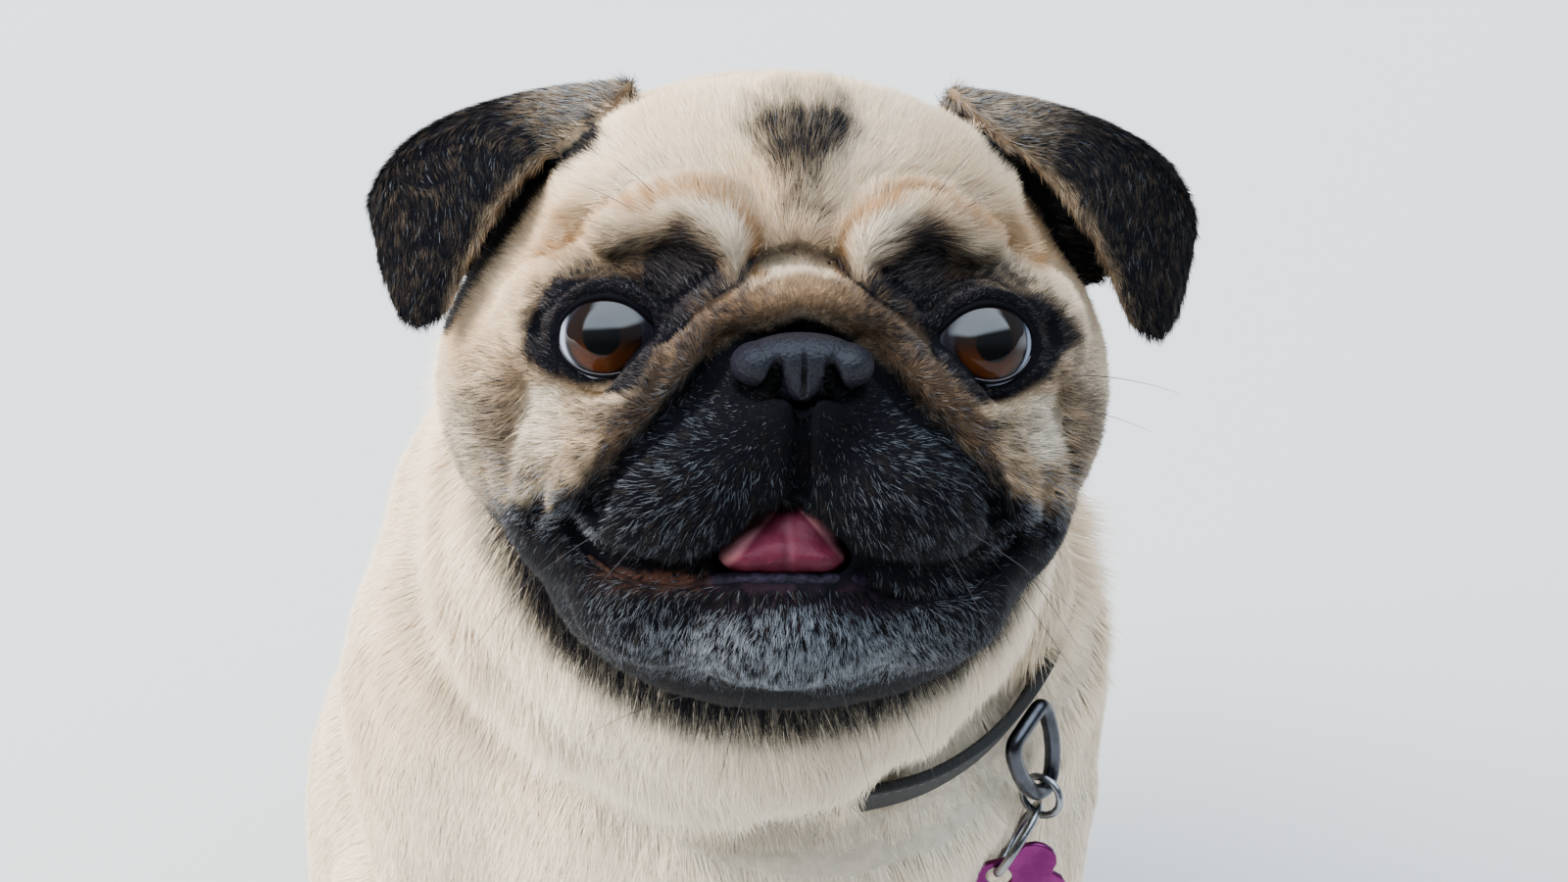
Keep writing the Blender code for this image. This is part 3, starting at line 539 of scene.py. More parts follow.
def set_light():
    world = bpy.data.worlds.new("soft room")
    bpy.context.scene.world = world
    board = Board(world)
    background = world.node_tree.nodes["Background"]
    background.inputs[0].default_value = (0.72, 0.85, 1.0, 1)
    # a wide band of sky overhead, from left to right
    _, y, z = board.split(board.node("ShaderNodeTexCoord"))
    overhead = (z - y.size() * 0.62).ramp(0.34, 0.56)
    board.put(background.inputs[1], overhead * (SKY - DIM) + DIM)
    middle = (0, -0.08, 0.28)
    soft_light("left window", (-3.4, 0.58, 2.22), middle, 3.0, 2.4, 600, (1.0, 0.96, 0.88))
    soft_light("front fill", (-0.9, -2.0, 0.9), middle, 1.4, 1.0, 3, (1.0, 0.98, 0.95))
    soft_light("side fill", (1.9, -0.6, 0.9), middle, 1.0, 1.4, 9, (0.97, 0.98, 1.0))
    soft_light("back light", (0.2, 1.8, 1.3), middle, 1.6, 1.2, 42, (1.0, 0.97, 0.92))


set_camera()
lay_floor()
set_light()


# The skin: the solids of the flesh made one surface

FLESH = ["head", "jaw", "neck", "torso", "tail"] + [
    f"{part}_{side}" for part in ("ear", "foreleg", "forepaw", "hind_leg", "hind_paw") for side in SIDES]
NOSE_ROLL = [(0, 8, 6.6), (12, 6, 6.8), (21, -3, 7), (31, -14, 6.8), (39.5, -23, 5.8), (44, -31, 4.2)]
BROW_LOBES = [(13, 19, 6.5), (17, 23, 7), (25, 24, 6.2), (35, 20, 5)]
FOREHEAD = [(0, 20, 11), (1, 28, 11), (2, 36, 10), (3, 44, 7)]
EYE_POUCH = [(25, -13, 3.4), (34, -17, 4), (44, -13, 4), (50, -4, 3.6)]
# Each crease is a line over the face by x and z, with its width and depth in millimetres and its sides.
BOTH, DOGS_RIGHT, DOGS_LEFT = (-1, 1), (-1,), (1,)
CREASES = [
    ([(8.4, 18), (9.4, 22), (12.5, 25.4), (22, 28.5), (34, 26), (46, 17)], 2.2, 1.2, BOTH),
    ([(0, 16.4), (8, 14.2), (13.5, 9.6), (19, 5.6), (25, 1)], 1.8, 1.9, BOTH),
    ([(11, 0), (14, -1), (19, -9), (28, -18), (36, -26), (39, -33)], 1.8, 1.5, BOTH),
    ([(22, 5), (25, 1), (25.5, -5), (27, -10)], 1.7, 1.0, BOTH),
    ([(49, 3), (51, -10), (54, -20), (55, -28)], 2.2, 0.9, BOTH),
    ([(44, -24), (47, -30), (50, -36)], 1.8, 0.9, BOTH),
    ([(0, -12), (0, -22), (0, -31)], 1.4, 1.9, BOTH),
    ([(14, -42.5), (20, -44.8), (28, -44.2), (35, -42.6), (41, -39), (45, -34)], 1.9, 3.4, DOGS_RIGHT),
    ([(13, -44), (16.5, -47.4), (22, -48.4), (30, -47), (37, -43.6), (43, -39)], 1.7, 2.4, DOGS_LEFT),
]
SKIN_VOXEL = 1.15 * MM
SKIN_FACES = 186000
# How much the flat facets of each area are melted away, and how deep its coat is in millimetres.
SOFTENED = {"neck": 1, "torso": 1, "hind_leg": 1, "tail": 0.5, "foreleg": 0.8, "forepaw": 0.1,
            "hind_paw": 0.1}
COAT_DEPTH = {"head": 1.7, "jaw": 1.3, "neck": 3.2, "torso": 3.2, "tail": 2.6, "ear": 0.55,
              "foreleg": 2.2, "forepaw": 1.2, "hind_leg": 2.4, "hind_paw": 1.2}


def fold_beads(name, tree, rows, sink):
    """A fold that follows the face on both sides."""
    centres, radii = [], []
    for x, radius, z in smooth_line([(x, r, z) for x, z, r in rows], 30):
        for sign in SIDES.values():
            centres.append(on_face(tree, sign * x, z, sink * radius))
            radii.append(radius * MM)
    return beads(name, np.array(centres), np.array(radii))


STRAP = (11.2, 2.8)  # how wide and how thick the strap is, in millimetres
STRAP_STEPS = 120


def ring_frame(node):
    """The middle and the axes of a packed ring, the last one across its plane, and a tree of its faces."""
    source = node_copy(node)
    points = points_of(source)
    bpy.data.objects.remove(source)
    middle = points.mean(0)
    return middle, np.linalg.svd(points - middle, full_matrices=False)[2], tree_of_nodes(node)


def strap_line():
    """The plane the strap lies in, and how far its outer face is from the middle all the way round."""
    middle, axes, tree = ring_frame("collar")
    up = axes[2] if axes[2][2] > 0 else -axes[2]
    side, back = axes[0], np.cross(up, axes[0])
    turns = np.arange(STRAP_STEPS)
    reach = np.full(STRAP_STEPS, np.nan)
    for i, angle in enumerate(turns * 2 * math.pi / STRAP_STEPS):
        way = Vector(side * math.cos(angle) + back * math.sin(angle))
        hit = tree.ray_cast(Vector(middle) + way * 0.3, -way)[0]
        if hit:
            reach[i] = (hit - Vector(middle)).length
    known = ~np.isnan(reach)
    reach = np.interp(turns, turns[known], reach[known])
    for _ in range(4):
        reach = (np.roll(reach, 1) + 2 * reach + np.roll(reach, -1)) / 4
    return middle, side, back, up, reach


STRAP_LINE = strap_line()


def from_strap(points):
    """The height of each point over the strap's middle line, and how far it is outside its inner face."""
    middle, side, back, up, reach = STRAP_LINE
    own = points - middle
    high = own @ up
    a, b = own @ side, own @ back
    turn = (np.arctan2(b, a) / (2 * math.pi) % 1) * STRAP_STEPS
    inner = np.interp(turn, np.arange(STRAP_STEPS + 1), np.append(reach, reach[0])) - STRAP[1] * MM
    return high, np.hypot(a, b) - inner


def strap_shown(points):
    """1 on the dog's left front, the only place where the coat doesn't fall over the strap."""
    body = in_body(points)
    return step(body[:, 0], 8, 26) * (1 - step(body[:, 1], -64, -52))


def tucked(points):
    """The skin passes inside the strap. The neck draws in over it where it shows, and else rolls over it."""
    middle, _, _, up, _ = STRAP_LINE
    high, out = from_strap(points)
    beside = np.maximum(np.abs(high) - 6.4 * MM, 0)
    shown = strap_shown(points)
    beside = beside + 9 * MM * (1 - shown) * (high > 6.4 * MM)
    extra = np.where(beside < 6 * MM, out + 0.6 * MM - 1.3 * beside, 0)
    above = out + 0.6 * MM - 0.55 * np.maximum(high - 28 * MM, 0)
    extra = np.maximum(np.maximum(extra, above * shown * (high > 0)), 0)
    # the roll comes up level with the strap's outer face
    level = (STRAP[1] - 0.2) * MM * step(high, 5.8 * MM, 6.6 * MM) * (1 - step(high, 14 * MM, 30 * MM))
    body = in_body(points)
    left, behind = step(body[:, 0], 10, 40), step(body[:, 1], -10, 30)
    deep, most, reach = (7 + 8 * left) * MM, (5 + 7 * left) * MM, (22 + 12 * np.maximum(left, behind)) * MM
    fill = np.clip(level - out, 0, most) * step(out, -deep - 3 * MM, -deep) * (high > 5.8 * MM) * (1 - shown)
    extra = extra - fill * (1 - step(high, 14 * MM, reach))
    own = points - middle
    ways = unit(own - (own @ up)[:, None] * up)
    return points - ways * extra[:, None]


def kind_of(node):
    return node.replace("_left", "").replace("_right", "")


class Nearest:
    """Says which of the solids each place belongs to."""

    def __init__(self, names):
        copies = [link(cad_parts[name].data.copy(), "near") for name in names]
        self.tree = surface_tree(*copies)
        self.owner = np.repeat(np.arange(len(names)), [len(triangles_of(obj)) for obj in copies])
        for obj in copies:
            bpy.data.objects.remove(obj)

    def __call__(self, points):
        return self.owner[[self.tree.find_nearest(Vector(point))[2] for point in points]]


def line_distance(points, line):
    """The distance from each point to a line given by close points."""
    best = np.full(len(points), 1e9)
    for spot in line:
        best = np.minimum(best, ((points - spot) ** 2).sum(1))
    return np.sqrt(best)


def near_eyes_and_nose(own):
    """How far each place on the head is from the nearer eye and from the nose, in millimetres."""
    eyes = [np.linalg.norm(own - [sign * 35, -4, 0], axis=1) for sign in SIDES.values()]
    return np.min(eyes, axis=0), np.linalg.norm(own - [0, -18, -6], axis=1)


def shape_lids(points):
    """Clears the skin under each eye and rounds the edge of its lids."""
    for sign in SIDES.values():
        place = eye_place(sign)
        own = carried(points, place.inverted()) / MM
        reach = np.linalg.norm(own, axis=1)
        across = lid_reach(own[:, 0], own[:, 2], sign)
        near = (reach < 17) & (own[:, 1] < -1.5)
        opening = near & (across < 1)
        lid = near & (across >= 1) & (across < 1.7)
        goal = reach.copy()
        # where the nose roll stands over the inner corner, it stays
        clear = 1 - step(reach[opening], 11.6, 14)
        cleared = reach[opening] + (10.1 - reach[opening]) * clear
        goal[opening] = np.where(reach[opening] > 10.1, cleared, reach[opening])
        edge = 11.2 + 1.5 * step(across[lid], 1.0, 1.2) - 1.2 * step(across[lid], 1.28, 1.6)
        goal[lid] = np.maximum(reach[lid], edge)
        own = own * (goal / reach)[:, None]
        changed = opening | lid
        points[changed] = carried(own[changed] * MM, place)
    return points


def fused_flesh():
    """The solids of the flesh and the folds of the face as one surface."""
    copies = [node_copy(name, 0.25 * MM) for name in FLESH]
    head_tree = surface_tree(*[obj for obj in copies if obj.name.startswith(("head", "jaw"))])
    folds = [fold_beads(name, head_tree, rows, sink) for name, rows, sink in (
        ("nose roll", NOSE_ROLL, 0.62), ("brow lobes", BROW_LOBES, 0.72), ("forehead", FOREHEAD, 0.83),
        ("pouches", EYE_POUCH, 0.66))]
    sockets = [ball((sign * EYE_APART / MM / 2, 0, 0), (10, 10, 10), HEAD) for sign in SIDES.values()]
    lip_floor = [ball((sign * 6, -12.5, -13), (8.5, 7.5, 5.5), HEAD) for sign in SIDES.values()]
    return one_surface(joined("skin", copies + folds + sockets + lip_floor), SKIN_VOXEL)


def melt_facets(skin, kinds, loose_head):
    """The flat facets of the solids are melted away on the body, and small bumps all over."""
    edges = edges_of(skin)
    soft = skin.vertex_groups.new(name="soft")
    for kind, share in SOFTENED.items():
        soft.add(np.where(kinds == kind)[0].tolist(), share, "REPLACE")
    soft.add(np.where(loose_head)[0].tolist(), 0.6, "REPLACE")
    melt = skin.modifiers.new("melt", "SMOOTH")
    melt.factor, melt.iterations, melt.vertex_group = 0.5, 60, "soft"
    apply_modifiers(skin)
    skin.vertex_groups.clear()
    points = points_of(skin)
    firm = np.where(kinds == "ear", 0.25, 0.4)
    for _ in range(6):
        points = relaxed(points, edges, firm, 1)
        points = relaxed(points, edges, -firm * 1.03, 1)
    set_points(skin, points)
    return points


def press_creases(skin, points, normals, face):
    """Presses each crease into the places of the face."""
    tree = surface_tree(skin)
    for rows, width, depth, signs in CREASES:
        for sign in signs:
            line = [np.array(on_face(tree, sign * x, z)) for x, z in smooth_line(rows, 40)]
            away = line_distance(points[face], line) / MM
            points[face] -= normals[face] * (depth * MM * np.exp(-(away / width) ** 2))[:, None]


def coat_depth(own, kinds, on_head, edges):
    """How deep the coat is at each place, least round the eyes and the nose, with no step between areas."""
    depth = np.array([COAT_DEPTH[kind] for kind in kinds])
    eye_near, nose_near = near_eyes_and_nose(own)
    front = on_head & (own[:, 1] < 24)
    depth = np.where(front, np.minimum(depth, 1.2), depth)
    depth = np.where(on_head, np.minimum(depth, 0.3 + 1.3 * step(eye_near, 12, 26)), depth)
    depth = np.where(on_head, np.minimum(depth, 0.3 + 1.3 * step(nose_near, 12, 24)), depth)
    return relaxed(depth, edges, 0.5, 30)[:, 0]


def make_skin():
    """One surface that lies inside the solids by the depth of the coat, with fewer faces on the body."""
    skin = fused_flesh()
    points, edges = points_of(skin), edges_of(skin)
    nearest = Nearest(FLESH)
    kinds = np.array([kind_of(name) for name in FLESH])[nearest(points)]
    own = in_head(points)
    on_head = np.isin(kinds, ("head", "jaw"))
    points = melt_facets(skin, kinds, on_head & (own[:, 1] > 48))
    normals = unit(relaxed(normals_of(skin), edges, 0.5, 7))
    press_creases(skin, points, normals, np.where(on_head & (own[:, 1] < 40))[0])
    depth = coat_depth(own, kinds, on_head, edges)
    # the soles stay on the floor
    sole = points[:, 2] < 1.2 * MM
    low = points[:, 2].copy()
    points = points - normals * (depth * MM)[:, None]
    points[sole, 2] = np.maximum(low[sole], 0.05 * MM)
    points = tucked(shape_lids(points))
    set_points(skin, points)
    group = skin.vertex_groups.new(name="body")
    loose = np.where(~(on_head & (own[:, 1] < 50)))[0]
    group.add(loose.tolist(), 1.0, "REPLACE")
    decimate = skin.modifiers.new("fewer on the body", "DECIMATE")
    decimate.ratio = min(1.0, SKIN_FACES / len(triangles_of(skin)))
    decimate.vertex_group = "body"
    apply_modifiers(skin)
    skin.vertex_groups.clear()
    skin.data.shade_smooth()
    return skin, nearest


skin, nearest = make_skin()
skin_points, skin_normals, skin_edges = points_of(skin), normals_of(skin), edges_of(skin)
skin_faces = triangles_of(skin)
skin_kinds = np.array([kind_of(name) for name in FLESH])[nearest(skin_points)]


# The markings. Outlines and lines on the head are in millimetres across and up the face.

MASK = [(-40, 5), (0, 5), (12, 3), (20, -3), (28, -11), (36, -19), (43, -27), (51, -28), (62, -28),
        (65, -38), (60, -49), (50, -62), (36, -73), (14, -83), (-40, -84)]
BROW_PATCH = [(8.4, 13.4), (13.2, 14), (16.2, 17.8), (19.2, 21.6), (23, 22.9), (28.6, 20.6), (30.5, 15),
              (31, 8), (26, 2), (21, 3), (16.2, 6.5), (10.1, 11)]
BEHIND_EAR = [(41, 39.3), (49.7, 33.3), (55, 26), (59, 19.5), (64.4, 12.3), (68.5, 4)]
LID_SHADE = [(18, 22), (30, 21.5), (42, 17), (51, 8), (44, 4), (24, 6)]
THUMB = [(-40, 45.5), (9, 45.5), (11, 40), (7, 34), (4, 28), (4, 24), (-40, 24)]
EYE_BAND = [(49, 0), (54, -9), (57, -18)]
EAR_EDGE = [(31, 20, 50), (36, 17.5, 44), (46, 16, 36.5), (56, 15, 27), (62.5, 14.5, 15), (66.5, 15, 4.5)]


def inside(x, z, outline, soft):
    """1 well inside a closed outline and 0 outside it, with a soft edge."""
    best, odd = np.full(x.shape, 1e9), np.zeros(x.shape, bool)
    for (ax, az), (bx, bz) in zip(outline, outline[1:] + outline[:1]):
        ex, ez = bx - ax, bz - az
        t = np.clip(((x - ax) * ex + (z - az) * ez) / (ex * ex + ez * ez), 0, 1)
        best = np.minimum(best, np.hypot(x - ax - t * ex, z - az - t * ez))
        if az != bz:
            odd ^= ((az > z) != (bz > z)) & (x < ax + (z - az) * ex / ez)
    return step(np.where(odd, best, -best), -soft, soft)


def along_line(x, z, rows, width):
    """1 on a line over the face, fading to 0 away from it."""
    best = np.full(x.shape, 1e9)
    for ax, az in smooth_line(rows, 24):
        best = np.minimum(best, (x - ax) ** 2 + (z - az) ** 2)
    return np.exp(-best / width ** 2)


def spot(x, z, centre, radii, soft):
    """1 well inside an ellipse on the face and 0 outside it, with a soft edge."""
    reach = np.hypot((x - centre[0]) / radii[0], (z - centre[1]) / radii[1])
    return 1 - step(reach, 1 - soft, 1 + soft)


DARK, WARM, PALE, GREY = range(4)


def markings(points, kinds):
    """How black, how golden, how pale and how grey the coat is at each place; the grey is partly grey hair and
    partly a painted sheen on the black muzzle hair.
    """
    own = in_head(points)
    wobble = ripple(points, 0.016, 3) * 1.3
    x, z = np.abs(own[:, 0]) + wobble, own[:, 2] + ripple(points, 0.013, 4) * 1.2
    y = own[:, 1]
    on_head = np.isin(kinds, ("head", "jaw"))
    front = on_head * (1 - step(y, 34, 50))
    dark = 0.98 * inside(x, z, MASK, 2.6 + 5.0 * step(x, 37, 50))
    ring = 1 - step(np.hypot((x - 35) / (17.5 + 2.0 * (x > 35)), (z - 0.8) / 12.3), 0.82, 1.18)
    for area in (0.98 * ring, 0.99 * inside(x, z, BROW_PATCH, 3.6), 0.86 * inside(x, z, LID_SHADE, 4.5),
                 0.55 * along_line(x, z, [(44, -24), (52, -27), (61, -27)], 6.0),
                 0.42 * along_line(x, z, EYE_BAND, 3.0),
                 0.8 * along_line(x, z, [(24, -8), (31, -15), (42, -15)], 3.5)):
        dark = np.maximum(dark, area)
    roll = along_line(x, z, [(x0, z0) for x0, z0, _ in NOSE_ROLL[:5]], 5.2)
    golden = step(roll, 0.35, 0.8) * (1 - step(x, 34, 42))
    cheek_tint = spot(x, z, (52, -18), (15, 17), 0.6)
    top = np.exp(-(x / 11) ** 2) * step(z, 4, 9)
    dark = dark * (1 - golden) + golden * (0.82 - 0.48 * top)
    # painted shade: darker along the crease over the nose roll
    roll_crease_shade = along_line(x, z, [(0, 16.4), (8, 14.2), (13.5, 9.6), (19, 5.6), (25, 1)], 1.9)
    dark = np.maximum(dark, roll_crease_shade * (0.78 + 0.2 * step(x, 3, 8)))
    thumb = inside(x, z, THUMB, 4.0)
    dark = np.maximum(dark, (0.66 + 0.24 * step(z, 29, 36)) * thumb)
    # golden brown along the brow crease: painted shade in the crease
    crease = along_line(x, z, [(8.2, 13), (8.4, 19), (12.5, 25.4), (22, 28), (36, 24), (47, 16)], 2.4)
    side_tint = 0.5 * along_line(x, z, EYE_BAND + [(58, -26)], 5.0)
    warm = np.maximum(np.maximum(crease, side_tint), golden * 0.85)
    warm = np.maximum(warm, 0.18 + 0.1 * ripple(points, 0.03, 8))
    warm = np.maximum(warm, 0.8 * inside(x, z, BROW_PATCH, 5.0) + 0.6 * ring)
    chin = spot(x, z, (0, -59), (25, 7.5), 0.5)
    # painted shade under the jaw: black, with no grey hair
    shade_under_jaw = 1 - step(z, -70, -64.5)
    jowl = spot(x, z, (30, -55), (9, 8), 0.8)
    flews = spot(x, z, (24, -27), (15, 16), 0.7)
    edge = along_line(x, z, [(48, -30), (44, -35), (38, -40)], 2.2)
    cheek_edge = spot(x, z, (52, -30), (9, 7), 0.8)
    # grey on the chin is grey hair; on the jowls, the flews and the lip edges it is a painted sheen on the
    # black hair
    grey = 0.66 * chin + 0.24 * jowl + 0.12 * flews + 0.3 * edge + 0.3 * cheek_edge + 0.02
    grey = grey * (1 - 0.97 * shade_under_jaw)
    dark = np.maximum(dark, 0.97 * shade_under_jaw * (1 - step(x, 34, 44)))
    brow = spot(x, z, (16, 20), (8, 8), 0.5)
    pale = np.maximum(0.85 * brow, 0.46 + 0.2 * ripple(points, 0.04, 12))
    dark = np.maximum(dark, 0.76 * cheek_tint)
    cheek = spot(x, z, (49, -16), (6, 7), 0.6)
    dark, pale = dark * (1 - 0.5 * cheek), np.maximum(pale, cheek)
    dark, warm = dark * front, warm * (0.25 + 0.75 * front)
    # painted shade on the head under the edge of each ear flap
    shade_under_ear = along_line(np.abs(own[:, 0]), own[:, 2], BEHIND_EAR, 5.2) * on_head * (1 - step(y, 60, 85))
    dark = np.maximum(dark, 0.97 * step(shade_under_ear, 0.25, 0.6))
    inside_mouth = on_head & (np.abs(own[:, 0]) < 17) & (z > -46) & (z < -28) & (y > -12)
    dark = np.where(inside_mouth, 1.0, dark)
    grey = grey * front
    # the body: white down the throat and chest, a pale fawn over the shoulders, back and flanks
    body = ~on_head
    y_body, z_body = points[:, 1] / MM, points[:, 2] / MM
    chest = 1 - step(y_body + 0.35 * (z_body - 150), -95, -5)
    pale = np.where(body, 0.62 + 0.38 * chest + 0.10 * ripple(points, 0.07, 5), pale)
    spine = np.exp(-(points[:, 0] / MM / 10) ** 2) * step(y_body, 20, 60) * step(z_body, 110, 170)
    # painted shade: the neck under and behind the head is black
    throat = (1 - step(np.hypot(own[:, 0] / 62, (own[:, 2] + 26) / 56), 0.93, 1.05)) * (1 - step(y, 60, 85))
    dark = np.where(body, np.maximum(0.16 * spine, 0.95 * throat * (kinds == "neck")), dark)
    warm = np.where(body, 0.10 * (1 - chest) + 0.07 * ripple(points, 0.06, 9), warm)
    legs = np.isin(kinds, ("foreleg", "forepaw", "hind_leg", "hind_paw"))
    pale = np.where(legs, 0.75, pale)
    ear = kinds == "ear"
    ear_own = np.stack([np.abs(own[:, 0]), own[:, 1], own[:, 2]], 1)
    rim = np.exp(-(line_distance(ear_own, smooth_line(EAR_EDGE, 50)) / 1.5) ** 2)
    base = 1 - step(np.linalg.norm(ear_own - [36, 26, 46], axis=1), 6, 24)
    dark = np.where(ear, 0.965 - 0.50 * rim - 0.22 * base, dark)
    warm = np.where(ear, 0.5 * rim + 0.3 * base, warm)
    pale = np.where(ear, 0.3 + 0.3 * base, pale)
    grey = np.where(ear, 0.02 + 0.30 * base, grey)
    return np.clip(np.stack([dark, warm, pale, grey], 1), 0, 1)


def store_colours(obj, name, values):
    layer = obj.data.color_attributes.new(name, "FLOAT_COLOR", "POINT")
    layer.data.foreach_set("color", np.asarray(values, np.float32).ravel())


FAWN, CREAM = (0.76, 0.48, 0.24), (0.96, 0.85, 0.66)
# the bluish grey below is grey hair, and also a painted sheen on the black hair of the muzzle
GOLD, BLACK, GRIZZLE_AND_SHEEN = (0.36, 0.185, 0.075), (0.0044, 0.0044, 0.0062), (0.50, 0.54, 0.60)
BROWN_BLACK = (0.075, 0.062, 0.058)


def coat_finish(name, tufts):
    """The coat's colours from its markings. Tufts are lighter and darker, and darkest at their roots, a painted
    shade; the skin under them is darkened by painted shade too.
    """
    finish = Finish(name, roughness=0.55 if tufts else 0.85, specular_ior_level=0.06)
    dark, warm, pale = finish.parts("marks")
    dark = dark.ramp(0.02, 0.95, False)
    colour = finish.mix(pale, FAWN, CREAM)
    colour = finish.mix(warm, colour, GOLD)
    black = BLACK
    if tufts:
        tone, along, grey = finish.parts("tuft")
        black = finish.mix(tone.ramp(0.35, 1.0) * warm.ramp(0.25, 0.8), BLACK, BROWN_BLACK)
    colour = finish.mix(dark, colour, black)
    where = finish.place()
    if tufts:
        # grey hairs, and a painted sheen on the black hair of the muzzle
        colour = finish.mix(grey, colour, GRIZZLE_AND_SHEEN)
        # darker towards the roots: painted shade in among the hair
        shade = (tone * 0.44 + 0.76) * (along * 0.34 + 0.72)
    else:
        # the skin under the coat darkened all over, with noise: painted shade at the roots of the hair
        shade = finish.noise(where, 420.0) * 0.35 + 0.42
        streaks = finish.noise(where, 900.0)
        finish.bump(streaks, 0.0006, 0.6)
        # bare skin shows through round the lips
        x, y, z = finish.axes(HEAD, MM)
        front = (1 - y.ramp(0, 8)) * (1 - (z + 50.5).size().ramp(2.5, 6.5)) * (1 - x.size().ramp(15, 22))
        patchy = finish.noise(where, 300.0).ramp(0.3, 0.7)
        colour = finish.mix(front * patchy * 0.7, colour, (0.050, 0.022, 0.034))
        strip = (1 - y.ramp(4, 14)) * (1 - (z + 46.5).size().ramp(1.5, 3.5)) * (0.0 - x).ramp(15, 19)
        strip = strip * (1 - (0.0 - x).ramp(36, 42))
        colour = finish.mix(strip * 0.8, colour, (0.09, 0.042, 0.03))
    shade = finish.node("ShaderNodeCombineColor", inputs={0: shade, 1: shade, 2: shade})
    finish.set(Base_Color=finish.mix(1.0, colour, shade, "MULTIPLY"))
    return finish


store_colours(skin, "marks", markings(skin_points, skin_kinds))
dress(skin, coat_finish("skin under the coat", False), "fawn coat", *FLESH)


# How the coat lies: its length, width, lift and direction at each place on the skin

LENGTH, WIDTH, LIFT, SHARE = range(4)
LOOKS = {  # length and width in millimetres, lift in degrees and share of tufts for each area
    "head": (5.6, 0.24, 14, 2.2), "jaw": (4.6, 0.24, 17, 2.6), "ear": (3.6, 0.22, 10, 2.4),
    "neck": (10, 0.31, 9, 1.0), "torso": (10.5, 0.34, 6.5, 1.0), "tail": (8, 0.33, 10, 1.1),
    "foreleg": (7, 0.30, 8, 1.0), "forepaw": (4.2, 0.25, 10, 1.6), "hind_leg": (8.5, 0.33, 7, 1.0),
    "hind_paw": (4.2, 0.25, 10, 1.6)}
EAR_LINE = [(36, 29, 40), (50, 38, 38), (62, 36, 40), (71, 31, 33), (70, 22, 25), (72, 17, 15), (73, 15, 3)]
TAIL_TURNS = 1.45


def tail_line():
    """The middle of the tail, from its root to the end of its curl."""
    line = []
    for t in np.linspace(0, 1, 60):
        angle = math.radians(-60) + t * TAIL_TURNS * 2 * math.pi
        reach = 30 - 23 * t
        line.append(at_body(3 + 23 * t, 153 + reach * math.cos(angle), 138 + reach * math.sin(angle)))
    return np.array([at_body(2, 126, 94), at_body(3, 156, 102)] + line)


def follow(points, line):
    """The direction of a line at its place nearest to each point."""
    ways = unit(np.gradient(line, axis=0))
    nearest_spot = np.argmin(((points[:, None] - line[None]) ** 2).sum(2), axis=1)
    return ways[nearest_spot]


def coat_flow(points, kinds):
    """The way the coat lies at each place, from the nose outwards and down the body and the legs."""
    own = in_head(points)
    flow = np.tile([0.0, 0.5, -1.0], (len(points), 1))
    kind = {name: kinds == name for name in LOOKS}
    out = unit(own - [0, -26, -9])
    out[:, 1] += 0.25
    lower = own[:, 2] < -34
    out[lower, 2] -= 0.5
    head = kind["head"] | kind["jaw"]
    flow[head] = turned(out[head], HEAD)
    y, z = points[:, 1] / MM, points[:, 2] / MM
    neck = kind["neck"]
    nape = step(y, -60, 10)[:, None]
    flow[neck] = ((1 - nape) * [0, 0.05, -1] + nape * [0, 0.75, -0.65])[neck]
    torso = kind["torso"]
    back = step(y, -70, 20)[:, None]
    flow[torso] = ((1 - back) * [0, 0.1, -1] + back * [0, 0.7, -0.75])[torso]
    flow[kind["foreleg"]] = (0, 0.12, -1)
    flow[kind["hind_leg"]] = (0, 0.1, -1)
    low_leg = (kind["hind_leg"]) & (z < 45)
    flow[low_leg] = (0, -1, -0.35)
    flow[kind["forepaw"] | kind["hind_paw"]] = (0, -1, -0.35)
    flow[kind["tail"]] = follow(points[kind["tail"]], tail_line())
    for sign in SIDES.values():
        ear = kind["ear"] & (np.sign(own[:, 0]) == sign)
        line = np.array([at_head(sign * a, b, c) for a, b, c in smooth_line(EAR_LINE, 30)])
        flow[ear] = follow(points[ear], line)
    return flow


